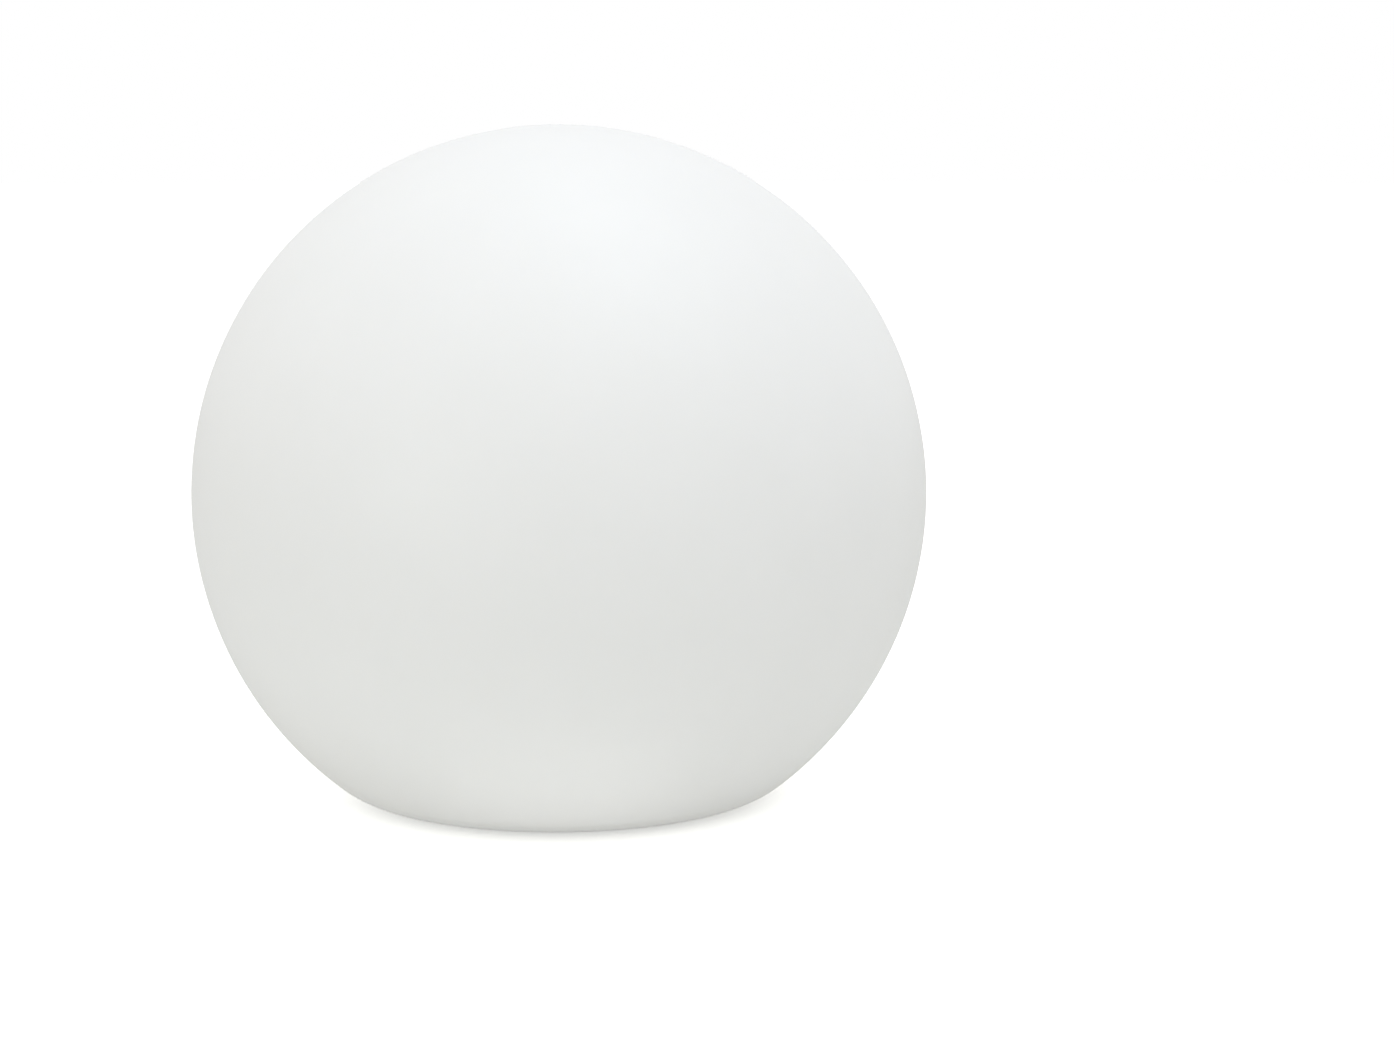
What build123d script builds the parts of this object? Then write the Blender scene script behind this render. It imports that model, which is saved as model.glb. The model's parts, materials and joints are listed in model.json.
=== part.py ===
from build123d import *
import math
import os

# Floating globe light, in millimetres. The origin is on the floor under the globe's middle, +Z is up.
# The globe is a hollow roto-moulded shell with a flat foot. Under it is a round well, and in the
# well a sealed light module is screwed up against a gasket. A push button, a charging socket with
# a screw cap and a status light show on the module's underside.

# ---- driving dimensions ----
GLOBE_RADIUS = 200.0
GLOBE_CENTRE_Z = 168.0
SHELL_WALL = 3.5
FOOT_FILLET = 54.0

WELL_RADIUS = 71.0
WELL_DEPTH = 22.0
WELL_EDGE_RADIUS = 6.0
WELL_ROOT_RADIUS = 2.0
MOUTH_RADIUS = 57.0

GASKET_THICKNESS = 2.0
FLANGE_RADIUS = 69.0
FLANGE_THICKNESS = 4.0
FLOOR_THICKNESS = 3.0
FLANGE_BOLT_RADIUS = 63.5
FLANGE_SCREWS = 6
CUP_RADIUS = 46.0
CUP_INNER_RADIUS = 43.5

RIM_RADIUS = 55.0
RIM_THICKNESS = 4.0
RIM_BOLT_RADIUS = 51.5
RIM_SCREWS = 6
RIM_GROOVE_RADIUS = 47.5
RIM_GROOVE_HALF = 1.1
RIM_GROOVE_DEPTH = 1.4
BAY_HEIGHT = 43.0
LEDGE_RADIUS = 41.0

DOME_HEIGHT = 27.5
DOME_RADIUS = 44.5
DOME_WALL = 2.0
DOME_FLANGE_THICKNESS = 2.5

CELL_RADIUS = 9.2
CELL_LENGTH = 65.0
CELL_PITCH = 19.0

BOARD_RADIUS = 41.0
BOARD_EDGE_X = 12.0
BOARD_THICKNESS = 1.6

BUTTON_X = -26.0
BUTTON_TRAVEL = 1.5
STEM_RADIUS = 3.0
SOCKET_X = 26.0
SPIGOT_RADIUS = 10.5
SPIGOT_LENGTH = 8.0
STATUS_Y = -30.0
LENS_RADIUS = 1.6

# ---- hardware ----
M4_SHANK = 1.98
M4_HEAD = 3.9
M4_HOLE = 2.25
M3_SHANK = 1.5
M3_HEAD = 2.8
M3_HOLE = 1.7
M2_5_SHANK = 1.25
M2_5_HEAD = 2.3
M2_5_HOLE = 1.5
INSERT_RADIUS = 3.0
INSERT_LENGTH = 10.0

# ---- heights that follow from them ----
GASKET_TOP = WELL_DEPTH
FLANGE_TOP = WELL_DEPTH - GASKET_THICKNESS
FLANGE_BOTTOM = FLANGE_TOP - FLANGE_THICKNESS
FLOOR_TOP = FLANGE_BOTTOM + FLOOR_THICKNESS
RIM_TOP = FLOOR_TOP + BAY_HEIGHT
RIM_BOTTOM = RIM_TOP - RIM_THICKNESS
CARRIER_BOTTOM = RIM_TOP - 5.0
CARRIER_TOP = CARRIER_BOTTOM + 2.0
LED_BOARD_TOP = CARRIER_TOP + 1.6
BOARD_BOTTOM = FLOOR_TOP + 9.0
BOARD_TOP = BOARD_BOTTOM + BOARD_THICKNESS
TRAY_BOTTOM = BOARD_TOP + 4.4
TRAY_FLOOR = 1.3
CELL_Z = TRAY_BOTTOM + TRAY_FLOOR + 9.7

# ---- small fits ----
SLIP = 0.1
THREAD_GAP = 0.02
SEAL_GAP = 0.05

BARREL_RADIUS = 8.0
STEM_SEAL_SECTION = 0.75
STEM_GROOVE_RADIUS = STEM_RADIUS + 2 * STEM_SEAL_SECTION + 2 * SEAL_GAP
WASHER_THICKNESS = 0.8
BOARD_POSTS = [(-24.0, 31.0), (-24.0, -31.0), (6.0, 34.5), (6.0, -34.5)]
TRAY_POST_Y = 40.0
LED_BOARD_SCREW_RADIUS = 31.0
HARNESS_PITCH = 1.6
HARNESS_WIRES = 4


# ---- helpers ----
def rod(radius, low, high, x=0.0, y=0.0):
    """An upright cylinder from height low to height high."""
    return Pos(x, y, low) * Cylinder(radius, high - low, align=(Align.CENTER, Align.CENTER, Align.MIN))


def ring(inner, outer, low, high, x=0.0, y=0.0):
    """An upright tube from height low to height high."""
    return rod(outer, low, high, x, y) - rod(inner, low - 1.0, high + 1.0, x, y)


def block(width, depth, low, high, x=0.0, y=0.0):
    """An upright box centred on x, y, from height low to height high."""
    return Pos(x, y, low) * Box(width, depth, high - low, align=(Align.CENTER, Align.CENTER, Align.MIN))


def turned(points, x=0.0, y=0.0):
    """A solid of revolution about the upright axis through x, y, from (radius, height) corners."""
    outline = Polyline([(r, 0.0, z) for r, z in points], close=True)
    return Pos(x, y, 0.0) * revolve(Face(Wire(outline.edges())), Axis.Z, 360)


def around(radius, count, start=0.0):
    """The points of a bolt circle, as (x, y, angle in degrees)."""
    spots = []
    for i in range(count):
        angle = start + 360.0 * i / count
        turn = math.radians(angle)
        spots.append((radius * math.cos(turn), radius * math.sin(turn), angle))
    return spots


def group(solids):
    """Several separate solids that are kept as one sub-part."""
    return Compound(children=list(solids))


def stadium(width, height, y_low, y_high, z):
    """A bar along Y with a rounded section, width across X and height across Z."""
    section = Plane.XZ * SlotOverall(width, height)
    bar = extrude(section, y_low - y_high)
    return Pos(0.0, y_low, z) * bar


def screw(x, y, seat, head_radius, head_height, shank_radius, length, upward):
    """A cross-recessed pan head screw whose head sits at height seat. upward is the way its shank points."""
    corner = 0.35 * head_height
    profile = [
        (0.0, length),
        (0.7 * shank_radius, length),
        (shank_radius, length - 0.8),
        (shank_radius, 0.0),
        (head_radius, 0.0),
        (head_radius, -head_height + corner),
        (head_radius - corner, -head_height),
        (0.0, -head_height),
    ]
    body = turned(profile)
    depth = 0.6 * head_height
    for width, reach in ((0.3, 1.25), (1.25, 0.3)):
        body -= block(width * head_radius, reach * head_radius, -head_height - 1.0, -head_height + depth)
    if not upward:
        body = Rot(180, 0, 0) * body
    return Pos(x, y, seat) * body


def lead(points, radius, bends):
    """A round lead along straight runs that are joined by tangent arcs."""
    path = FilletPolyline(*points, radius=bends)
    start = Plane(origin=path @ 0, z_dir=path % 0)
    return sweep(start * Circle(radius), path=path)


# ---- globe ----
def shell_surface(offset):
    """The curve of the shell from its crown down to the well's mouth, offset inwards from the outside."""
    reach = GLOBE_RADIUS - FOOT_FILLET
    drop = GLOBE_CENTRE_Z - FOOT_FILLET
    fillet_x = math.sqrt(reach**2 - drop**2)
    side = math.atan2(-drop, fillet_x)
    radius = GLOBE_RADIUS - offset

    def on_globe(angle):
        return (radius * math.cos(angle), 0.0, GLOBE_CENTRE_Z + radius * math.sin(angle))

    def on_arc(x, z, arc_radius, angle):
        return (x + arc_radius * math.cos(angle), 0.0, z + arc_radius * math.sin(angle))

    globe = ThreePointArc(
        on_globe(math.pi / 2), on_globe((math.pi / 2 + side) / 2), on_globe(side)
    )
    foot_radius = FOOT_FILLET - offset
    foot_roll = ThreePointArc(
        on_arc(fillet_x, FOOT_FILLET, foot_radius, side),
        on_arc(fillet_x, FOOT_FILLET, foot_radius, (side - math.pi / 2) / 2),
        on_arc(fillet_x, FOOT_FILLET, foot_radius, -math.pi / 2),
    )
    edge_x = WELL_RADIUS + WELL_EDGE_RADIUS
    edge_radius = WELL_EDGE_RADIUS - offset
    edge_roll = ThreePointArc(
        on_arc(edge_x, WELL_EDGE_RADIUS, edge_radius, -math.pi / 2),
        on_arc(edge_x, WELL_EDGE_RADIUS, edge_radius, -3 * math.pi / 4),
        on_arc(edge_x, WELL_EDGE_RADIUS, edge_radius, math.pi),
    )
    root_x = WELL_RADIUS - WELL_ROOT_RADIUS
    root_z = WELL_DEPTH - WELL_ROOT_RADIUS
    root_radius = WELL_ROOT_RADIUS + offset
    root_roll = ThreePointArc(
        on_arc(root_x, root_z, root_radius, 0.0),
        on_arc(root_x, root_z, root_radius, math.pi / 4),
        on_arc(root_x, root_z, root_radius, math.pi / 2),
    )
    mouth = (MOUTH_RADIUS, 0.0, WELL_DEPTH + offset)
    return [
        globe,
        foot_roll,
        Line(foot_roll @ 1, edge_roll @ 0),
        edge_roll,
        Line(edge_roll @ 1, root_roll @ 0),
        root_roll,
        Line(root_roll @ 1, mouth),
    ]


def globe_shell():
    """The hollow globe: a wall of one thickness that folds in at the foot to make the well."""
    outside = shell_surface(0.0)
    inside = shell_surface(SHELL_WALL)
    closing = [
        Line(outside[0] @ 0, inside[0] @ 0),
        Line(outside[-1] @ 1, inside[-1] @ 1),
    ]
    edges = [edge for line in outside + inside + closing for edge in line.edges()]
    shell = revolve(Face(Wire(edges)), Axis.Z, 360)
    for x, y, _ in around(FLANGE_BOLT_RADIUS, FLANGE_SCREWS):
        shell += rod(2 * INSERT_RADIUS, WELL_DEPTH + 1.0, WELL_DEPTH + INSERT_LENGTH + 3.0, x, y)
    for x, y, _ in around(FLANGE_BOLT_RADIUS, FLANGE_SCREWS):
        shell -= rod(INSERT_RADIUS, WELL_DEPTH - 1.0, WELL_DEPTH + INSERT_LENGTH + 0.5, x, y)
    return shell


def threaded_inserts():
    """Brass M4 inserts in the bosses round the well's mouth."""
    spots = around(FLANGE_BOLT_RADIUS, FLANGE_SCREWS)
    bore = M4_SHANK + THREAD_GAP
    return group(ring(bore, INSERT_RADIUS, WELL_DEPTH, WELL_DEPTH + INSERT_LENGTH, x, y) for x, y, _ in spots)


# ---- module housing and its seals ----
def flange_gasket():
    """The flat silicone ring between the module's flange and the globe."""
    gasket = ring(MOUTH_RADIUS, FLANGE_RADIUS, FLANGE_TOP, GASKET_TOP)
    for x, y, _ in around(FLANGE_BOLT_RADIUS, FLANGE_SCREWS):
        gasket -= rod(M4_HOLE, FLANGE_TOP - 1.0, GASKET_TOP + 1.0, x, y)
    return gasket


def module_housing():
    """The moulded flange and cup that close the globe and hold the battery and boards."""
    groove_bottom = RIM_TOP - RIM_GROOVE_DEPTH
    housing = turned(
        [
            (0.0, FLANGE_BOTTOM),
            (FLANGE_RADIUS - 1.0, FLANGE_BOTTOM),
            (FLANGE_RADIUS, FLANGE_BOTTOM + 1.0),
            (FLANGE_RADIUS, FLANGE_TOP),
            (CUP_RADIUS, FLANGE_TOP),
            (CUP_RADIUS, RIM_BOTTOM),
            (RIM_RADIUS, RIM_BOTTOM),
            (RIM_RADIUS, RIM_TOP),
            (RIM_GROOVE_RADIUS + RIM_GROOVE_HALF, RIM_TOP),
            (RIM_GROOVE_RADIUS + RIM_GROOVE_HALF, groove_bottom),
            (RIM_GROOVE_RADIUS - RIM_GROOVE_HALF, groove_bottom),
            (RIM_GROOVE_RADIUS - RIM_GROOVE_HALF, RIM_TOP),
            (CUP_INNER_RADIUS, RIM_TOP),
            (CUP_INNER_RADIUS, CARRIER_BOTTOM),
            (LEDGE_RADIUS, CARRIER_BOTTOM),
            (LEDGE_RADIUS, CARRIER_BOTTOM - 1.5),
            (CUP_INNER_RADIUS, CARRIER_BOTTOM - 4.0),
            (CUP_INNER_RADIUS, FLOOR_TOP),
            (0.0, FLOOR_TOP),
        ]
    )
    for _, _, angle in around(1.0, 12, start=15.0):
        rib = Plane.XZ * Polygon(
            (CUP_RADIUS - 0.5, FLANGE_TOP - 0.5),
            (CUP_RADIUS + 7.0, FLANGE_TOP - 0.5),
            (CUP_RADIUS - 0.5, FLANGE_TOP + 16.0),
            align=None,
        )
        housing += Rot(0, 0, angle) * extrude(rib, 0.8, both=True)
    for x, y, _ in around(RIM_BOLT_RADIUS, RIM_SCREWS, start=30.0):
        housing += rod(3.2, RIM_BOTTOM - 6.0, RIM_BOTTOM + 1.0, x, y)
    for x, y in BOARD_POSTS:
        housing += rod(3.0, FLOOR_TOP - 0.5, BOARD_BOTTOM, x, y)
    for side in (-1.0, 1.0):
        housing += rod(3.2, FLOOR_TOP - 0.5, TRAY_BOTTOM, 0.0, side * TRAY_POST_Y)
        housing += block(1.6, 2.0, FLOOR_TOP - 0.5, TRAY_BOTTOM - 2.0, 0.0, side * (CUP_INNER_RADIUS - 0.5))

    for x, y, _ in around(FLANGE_BOLT_RADIUS, FLANGE_SCREWS):
        housing -= rod(M4_HOLE, FLANGE_BOTTOM - 1.0, FLANGE_TOP + 1.0, x, y)
    for x, y, _ in around(RIM_BOLT_RADIUS, RIM_SCREWS, start=30.0):
        housing -= rod(M3_SHANK + THREAD_GAP, RIM_TOP - 9.0, RIM_TOP + 1.0, x, y)
    for x, y in BOARD_POSTS:
        housing -= rod(M2_5_SHANK + THREAD_GAP, FLOOR_TOP + 1.0, BOARD_BOTTOM + 1.0, x, y)
    for side in (-1.0, 1.0):
        housing -= rod(M3_SHANK + THREAD_GAP, TRAY_BOTTOM - 10.0, TRAY_BOTTOM + 1.0, 0.0, side * TRAY_POST_Y)
    housing -= rod(BARREL_RADIUS + SLIP, FLANGE_BOTTOM - 1.0, FLOOR_TOP + 1.0, SOCKET_X)
    housing -= rod(STEM_RADIUS + SLIP, FLANGE_BOTTOM - 1.0, FLOOR_TOP + 1.0, BUTTON_X)
    housing -= rod(STEM_GROOVE_RADIUS, FLANGE_BOTTOM + 0.6, FLOOR_TOP - 0.6, BUTTON_X)
    housing -= rod(LENS_RADIUS + SEAL_GAP, FLANGE_BOTTOM - 1.0, FLOOR_TOP + 1.0, 0.0, STATUS_Y)
    return housing


def flange_screws():
    """Stainless M4 pan head screws that pull the module up into the well."""
    seat = FLANGE_BOTTOM - WASHER_THICKNESS
    spots = around(FLANGE_BOLT_RADIUS, FLANGE_SCREWS)
    return group(screw(x, y, seat, M4_HEAD, 2.6, M4_SHANK, 16.0, upward=True) for x, y, _ in spots)


def screw_seal_washers():
    """Bonded sealing washers under the flange screws' heads."""
    spots = around(FLANGE_BOLT_RADIUS, FLANGE_SCREWS)
    low = FLANGE_BOTTOM - WASHER_THICKNESS
    return group(ring(M4_SHANK + THREAD_GAP, 4.6, low, FLANGE_BOTTOM, x, y) for x, y, _ in spots)


# ---- charging socket and its cap ----
SOCKET_FLANGE_TOP = FLANGE_BOTTOM - 1.0
SOCKET_FLANGE_BOTTOM = SOCKET_FLANGE_TOP - 2.5
SOCKET_FLANGE_RADIUS = 13.0
SPIGOT_END = SOCKET_FLANGE_BOTTOM - SPIGOT_LENGTH
MOUTH_RECESS = 2.0
BARREL_TOP = FLOOR_TOP + 5.0
SOCKET_BOARD_TOP = BARREL_TOP + 1.2
NUT_HEIGHT = 4.0

CAP_RADIUS = 15.0
CAP_BORE = SPIGOT_RADIUS + 0.4
CAP_TOP = SOCKET_FLANGE_BOTTOM - 0.3
CAP_ROOF = SPIGOT_END - 0.5
CAP_BOTTOM = CAP_ROOF - 1.8
CAP_LOBES = 12
CAP_SEAL_SECTION = 0.68
CAP_SEAT = CAP_TOP - 1.3
CAP_SEAT_RADIUS = 13.2


SLEEVE_WIDTH = 8.94
SLEEVE_HEIGHT = 3.24
SLEEVE_WALL = 0.3


def oval(width, height, low, high):
    """An upright oval bar at the socket, width along Y and height along X."""
    section = Rot(0, 0, 90) * SlotOverall(width, height)
    return Pos(SOCKET_X, 0.0, low) * extrude(section, high - low)


def socket_gasket():
    """The silicone ring under the charging socket's flange."""
    return ring(BARREL_RADIUS + 0.2, SOCKET_FLANGE_RADIUS - 0.5, SOCKET_FLANGE_TOP, FLANGE_BOTTOM, SOCKET_X)


def socket_body():
    """The panel socket: a spigot for the cap below the flange, and a barrel through the floor above it."""
    body = turned(
        [
            (0.0, SPIGOT_END),
            (SPIGOT_RADIUS - 0.6, SPIGOT_END),
            (SPIGOT_RADIUS, SPIGOT_END + 0.6),
            (SPIGOT_RADIUS, SOCKET_FLANGE_BOTTOM),
            (SOCKET_FLANGE_RADIUS, SOCKET_FLANGE_BOTTOM),
            (SOCKET_FLANGE_RADIUS, SOCKET_FLANGE_TOP),
            (BARREL_RADIUS, SOCKET_FLANGE_TOP),
            (BARREL_RADIUS, BARREL_TOP),
            (0.0, BARREL_TOP),
        ],
        x=SOCKET_X,
    )
    body -= rod(7.5, SPIGOT_END - 1.0, SPIGOT_END + MOUTH_RECESS, SOCKET_X)
    return body - oval(SLEEVE_WIDTH + SLIP, SLEEVE_HEIGHT + SLIP, SPIGOT_END + 1.0, BARREL_TOP + 1.0)


def usb_shell():
    """The steel oval sleeve that a charging plug enters."""
    sleeve = oval(SLEEVE_WIDTH, SLEEVE_HEIGHT, SPIGOT_END + MOUTH_RECESS, BARREL_TOP - 2.0)
    bore_width = SLEEVE_WIDTH - 2 * SLEEVE_WALL
    bore_height = SLEEVE_HEIGHT - 2 * SLEEVE_WALL
    return sleeve - oval(bore_width, bore_height, SPIGOT_END + 1.0, BARREL_TOP)


def usb_tongue():
    """The contact tongue in the middle of the sleeve, and the block that holds it."""
    holder_width = SLEEVE_WIDTH - 2 * SLEEVE_WALL - SEAL_GAP
    holder_height = SLEEVE_HEIGHT - 2 * SLEEVE_WALL - SEAL_GAP
    tongue = block(0.7, 6.7, SPIGOT_END + MOUTH_RECESS + 1.0, BARREL_TOP - 8.0, SOCKET_X)
    return tongue + oval(holder_width, holder_height, BARREL_TOP - 8.5, BARREL_TOP)


def socket_nut():
    """The hexagon nut that pulls the socket against its gasket from inside."""
    hexagon = Pos(SOCKET_X, 0.0, FLOOR_TOP) * extrude(RegularPolygon(10.0, 6, major_radius=False), NUT_HEIGHT)
    return hexagon - rod(BARREL_RADIUS + SEAL_GAP, FLOOR_TOP - 1.0, FLOOR_TOP + NUT_HEIGHT + 1.0, SOCKET_X)


def socket_board():
    """The small round board on the socket's inner end."""
    return rod(BARREL_RADIUS - 0.8, BARREL_TOP, SOCKET_BOARD_TOP, SOCKET_X)


def charge_leads():
    """The two leads from the socket's board to the control board."""
    leads = []
    landing = BOARD_EDGE_X - 3.0
    high = BOARD_TOP + 2.4
    for y in (-3.0, 3.0):
        route = [
            (SOCKET_X, y, SOCKET_BOARD_TOP),
            (SOCKET_X, y, high),
            (landing, y, high),
            (landing, y, BOARD_TOP),
        ]
        leads.append(lead(route, 0.8, [2.6, 1.2]))
    return group(leads)


def charge_cap():
    """The screw cap over the charging socket, with a lobed grip and a seat for its O-ring."""
    cap = turned(
        [
            (0.0, CAP_BOTTOM),
            (CAP_RADIUS - 1.2, CAP_BOTTOM),
            (CAP_RADIUS, CAP_BOTTOM + 1.2),
            (CAP_RADIUS, CAP_TOP),
            (CAP_SEAT_RADIUS, CAP_TOP),
            (CAP_SEAT_RADIUS, CAP_SEAT),
            (CAP_BORE, CAP_SEAT),
            (CAP_BORE, CAP_ROOF),
            (0.0, CAP_ROOF),
        ],
        x=SOCKET_X,
    )
    for x, y, _ in around(CAP_RADIUS + 1.9, CAP_LOBES):
        cap -= rod(2.9, CAP_BOTTOM - 1.0, CAP_TOP - 2.0, SOCKET_X + x, y)
    return cap


def cap_seal():
    """The O-ring that the cap carries in its seat."""
    middle = (CAP_BORE + CAP_SEAT_RADIUS) / 2
    return Pos(SOCKET_X, 0.0, CAP_SEAT + CAP_SEAL_SECTION + SEAL_GAP) * Torus(middle, CAP_SEAL_SECTION)


# ---- push button ----
BUTTON_FACE_BOTTOM = FLANGE_BOTTOM - 7.0
BUTTON_FACE_TOP = FLANGE_BOTTOM - 4.0
BUTTON_STEM_TOP = FLOOR_TOP + 3.8
CLIP_LOW = FLOOR_TOP + SEAL_GAP
CLIP_HIGH = CLIP_LOW + 0.6
CLIP_GROOVE_RADIUS = 2.4
SWITCH_BOTTOM = BUTTON_STEM_TOP + BUTTON_TRAVEL + SLIP
PLUNGER_TOP = SWITCH_BOTTOM + 0.6
BEZEL_BORE = 8.2
BUTTON_RADIUS = BEZEL_BORE - 0.5


def button_bezel():
    """The raised ring round the push button."""
    low = FLANGE_BOTTOM - 5.0
    outer = BEZEL_BORE + 2.8
    return turned(
        [
            (BEZEL_BORE, low),
            (outer - 1.0, low),
            (outer, low + 1.0),
            (outer, FLANGE_BOTTOM),
            (BEZEL_BORE, FLANGE_BOTTOM),
        ],
        x=BUTTON_X,
    )


def power_button():
    """The push button: a crowned face, and a stem that passes through the floor to the switch."""
    return turned(
        [
            (0.0, BUTTON_FACE_BOTTOM),
            (5.2, BUTTON_FACE_BOTTOM + 0.3),
            (7.0, BUTTON_FACE_BOTTOM + 0.9),
            (BUTTON_RADIUS, BUTTON_FACE_BOTTOM + 1.8),
            (BUTTON_RADIUS, BUTTON_FACE_TOP),
            (STEM_RADIUS, BUTTON_FACE_TOP),
            (STEM_RADIUS, CLIP_LOW),
            (CLIP_GROOVE_RADIUS, CLIP_LOW),
            (CLIP_GROOVE_RADIUS, CLIP_HIGH),
            (STEM_RADIUS, CLIP_HIGH),
            (STEM_RADIUS, BUTTON_STEM_TOP - 0.4),
            (STEM_RADIUS - 0.4, BUTTON_STEM_TOP),
            (0.0, BUTTON_STEM_TOP),
        ],
        x=BUTTON_X,
    )


def button_spring():
    """The space that the return spring's coils fill, between the button's face and the floor."""
    return ring(4.1, 4.7, BUTTON_FACE_TOP, FLANGE_BOTTOM, BUTTON_X)


def button_seal():
    """The O-ring in the floor's groove that seals the button's stem."""
    middle = (FLANGE_BOTTOM + FLOOR_TOP) / 2
    return Pos(BUTTON_X, 0.0, middle) * Torus(STEM_RADIUS + SEAL_GAP + STEM_SEAL_SECTION, STEM_SEAL_SECTION)


def button_clip():
    """The spring clip on the stem that keeps the button from falling out."""
    clip = ring(CLIP_GROOVE_RADIUS, 5.4, CLIP_LOW, CLIP_HIGH, BUTTON_X)
    return clip - block(6.0, 3.2, CLIP_LOW - 1.0, CLIP_HIGH + 1.0, BUTTON_X - 4.6)


def switch_plunger():
    """The moving pin of the switch on the control board."""
    return rod(1.7, BUTTON_STEM_TOP, PLUNGER_TOP, BUTTON_X)


def switch_body():
    """The sealed switch on the underside of the control board."""
    body = block(6.2, 6.2, SWITCH_BOTTOM, BOARD_BOTTOM, BUTTON_X)
    return body - rod(1.9, SWITCH_BOTTOM - 1.0, BOARD_BOTTOM - 0.8, BUTTON_X)


# ---- status light ----
STATUS_LED_BOTTOM = BOARD_BOTTOM - 1.0


def status_lens():
    """The clear pin that shows the charging light on the underside."""
    lens = rod(LENS_RADIUS + 1.0, FLANGE_BOTTOM - 1.0, FLANGE_BOTTOM, 0.0, STATUS_Y)
    return lens + rod(LENS_RADIUS, FLANGE_BOTTOM - 0.5, STATUS_LED_BOTTOM - 0.2, 0.0, STATUS_Y)


def status_led():
    """The small light on the control board's underside, above the clear pin."""
    return block(3.2, 1.6, STATUS_LED_BOTTOM, BOARD_BOTTOM, 0.0, STATUS_Y)


# ---- control board ----
def control_board():
    """The D-shaped circuit board on the housing's four posts."""
    board = rod(BOARD_RADIUS, BOARD_BOTTOM, BOARD_TOP)
    board -= block(60.0, 100.0, BOARD_BOTTOM - 1.0, BOARD_TOP + 1.0, BOARD_EDGE_X + 30.0)
    for side in (-1.0, 1.0):
        board -= rod(4.2, BOARD_BOTTOM - 1.0, BOARD_TOP + 1.0, 0.0, side * TRAY_POST_Y)
    for x, y in BOARD_POSTS:
        board -= rod(M2_5_HOLE, BOARD_BOTTOM - 1.0, BOARD_TOP + 1.0, x, y)
    return board


def board_screws():
    """The four screws of the control board."""
    return group(
        screw(x, y, BOARD_TOP, M2_5_HEAD, 1.5, M2_5_SHANK, 7.5, upward=False) for x, y in BOARD_POSTS
    )


def controller_chip():
    """The controller that mixes the colours."""
    return block(7.0, 7.0, BOARD_TOP, BOARD_TOP + 1.2, -8.0, 8.0)


def driver_transistors():
    """One driver for each colour of the light."""
    row = [-15.0 + 7.5 * i for i in range(HARNESS_WIRES)]
    return group(block(3.5, 6.5, BOARD_TOP, BOARD_TOP + 1.6, x, -12.0) for x in row)


def power_inductor():
    """The choke of the charging circuit."""
    choke = block(7.4, 7.4, BOARD_TOP, BOARD_TOP + 3.4, 1.0, -25.0)
    return fillet(choke.edges().filter_by(Axis.Z), 1.6)


def filter_capacitors():
    """The two round capacitors beside the battery."""
    spots = [(-31.0, -14.0), (-28.0, -22.0)]
    return group(rod(3.1, BOARD_TOP, BOARD_TOP + 7.0, x, y) for x, y in spots)


def socket_strip(width, depth, height, x, y):
    """An open-topped board connector."""
    strip = block(width, depth, BOARD_TOP, BOARD_TOP + height, x, y)
    return strip - block(width - 1.6, depth - 1.6, BOARD_TOP + 1.4, BOARD_TOP + height + 1.0, x, y)


PLUG_TOP = BOARD_TOP + 8.0
BATTERY_PLUG_X = -31.0
BATTERY_PLUG_Y = 16.0
HARNESS_PLUG_X = -34.0


def battery_socket():
    """The control board's connector for the battery."""
    return socket_strip(6.4, 8.4, 5.6, BATTERY_PLUG_X, BATTERY_PLUG_Y)


def battery_plug():
    """The battery leads' plug in its connector."""
    return block(4.6, 6.6, BOARD_TOP + 1.5, PLUG_TOP, BATTERY_PLUG_X, BATTERY_PLUG_Y)


def harness_socket():
    """The control board's connector for the light's leads."""
    return socket_strip(6.0, 10.4, 5.6, HARNESS_PLUG_X, 0.0)


def harness_plug():
    """The light leads' plug in its connector."""
    return block(4.2, 8.6, BOARD_TOP + 1.5, PLUG_TOP, HARNESS_PLUG_X, 0.0)


# ---- battery ----
PACK_HALF = CELL_LENGTH / 2
STRIP_THICKNESS = 0.3
END_THICKNESS = 1.2
END_GAP = 0.4
SLEEVE_END = PACK_HALF + END_GAP + END_THICKNESS + SLIP
SLEEVE_SIDE = CELL_RADIUS + 0.5


def battery_cells():
    """Two lithium cells side by side along Y."""
    half = CELL_PITCH / 2
    lying = Rot(90, 0, 0) * Cylinder(CELL_RADIUS, CELL_LENGTH)
    return group(Pos(side * half, 0.0, CELL_Z) * lying for side in (-1.0, 1.0))


def end_plate(width, height, thickness, y):
    """A plate across the cells' ends whose middle is at y."""
    return Pos(0.0, y, CELL_Z) * Box(width, thickness, height)


def battery_strips():
    """The welded nickel strips that join the cells' ends."""
    y = PACK_HALF + STRIP_THICKNESS / 2
    return group(end_plate(27.0, 7.0, STRIP_THICKNESS, side * y) for side in (-1.0, 1.0))


def protection_board():
    """The battery's own protection board, across the cells' ends."""
    return end_plate(33.0, 9.0, END_THICKNESS, PACK_HALF + END_GAP + END_THICKNESS / 2)


def end_pad():
    """The foam pad at the battery's other end."""
    return end_plate(31.0, 12.0, END_THICKNESS, -PACK_HALF - END_GAP - END_THICKNESS / 2)


def battery_sleeve():
    """The shrink sleeve round both cells."""
    bore = CELL_RADIUS + SLIP
    outside = stadium(CELL_PITCH + 2 * SLEEVE_SIDE, 2 * SLEEVE_SIDE, -SLEEVE_END, SLEEVE_END, CELL_Z)
    return outside - stadium(CELL_PITCH + 2 * bore, 2 * bore, -SLEEVE_END - 1.0, SLEEVE_END + 1.0, CELL_Z)


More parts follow.
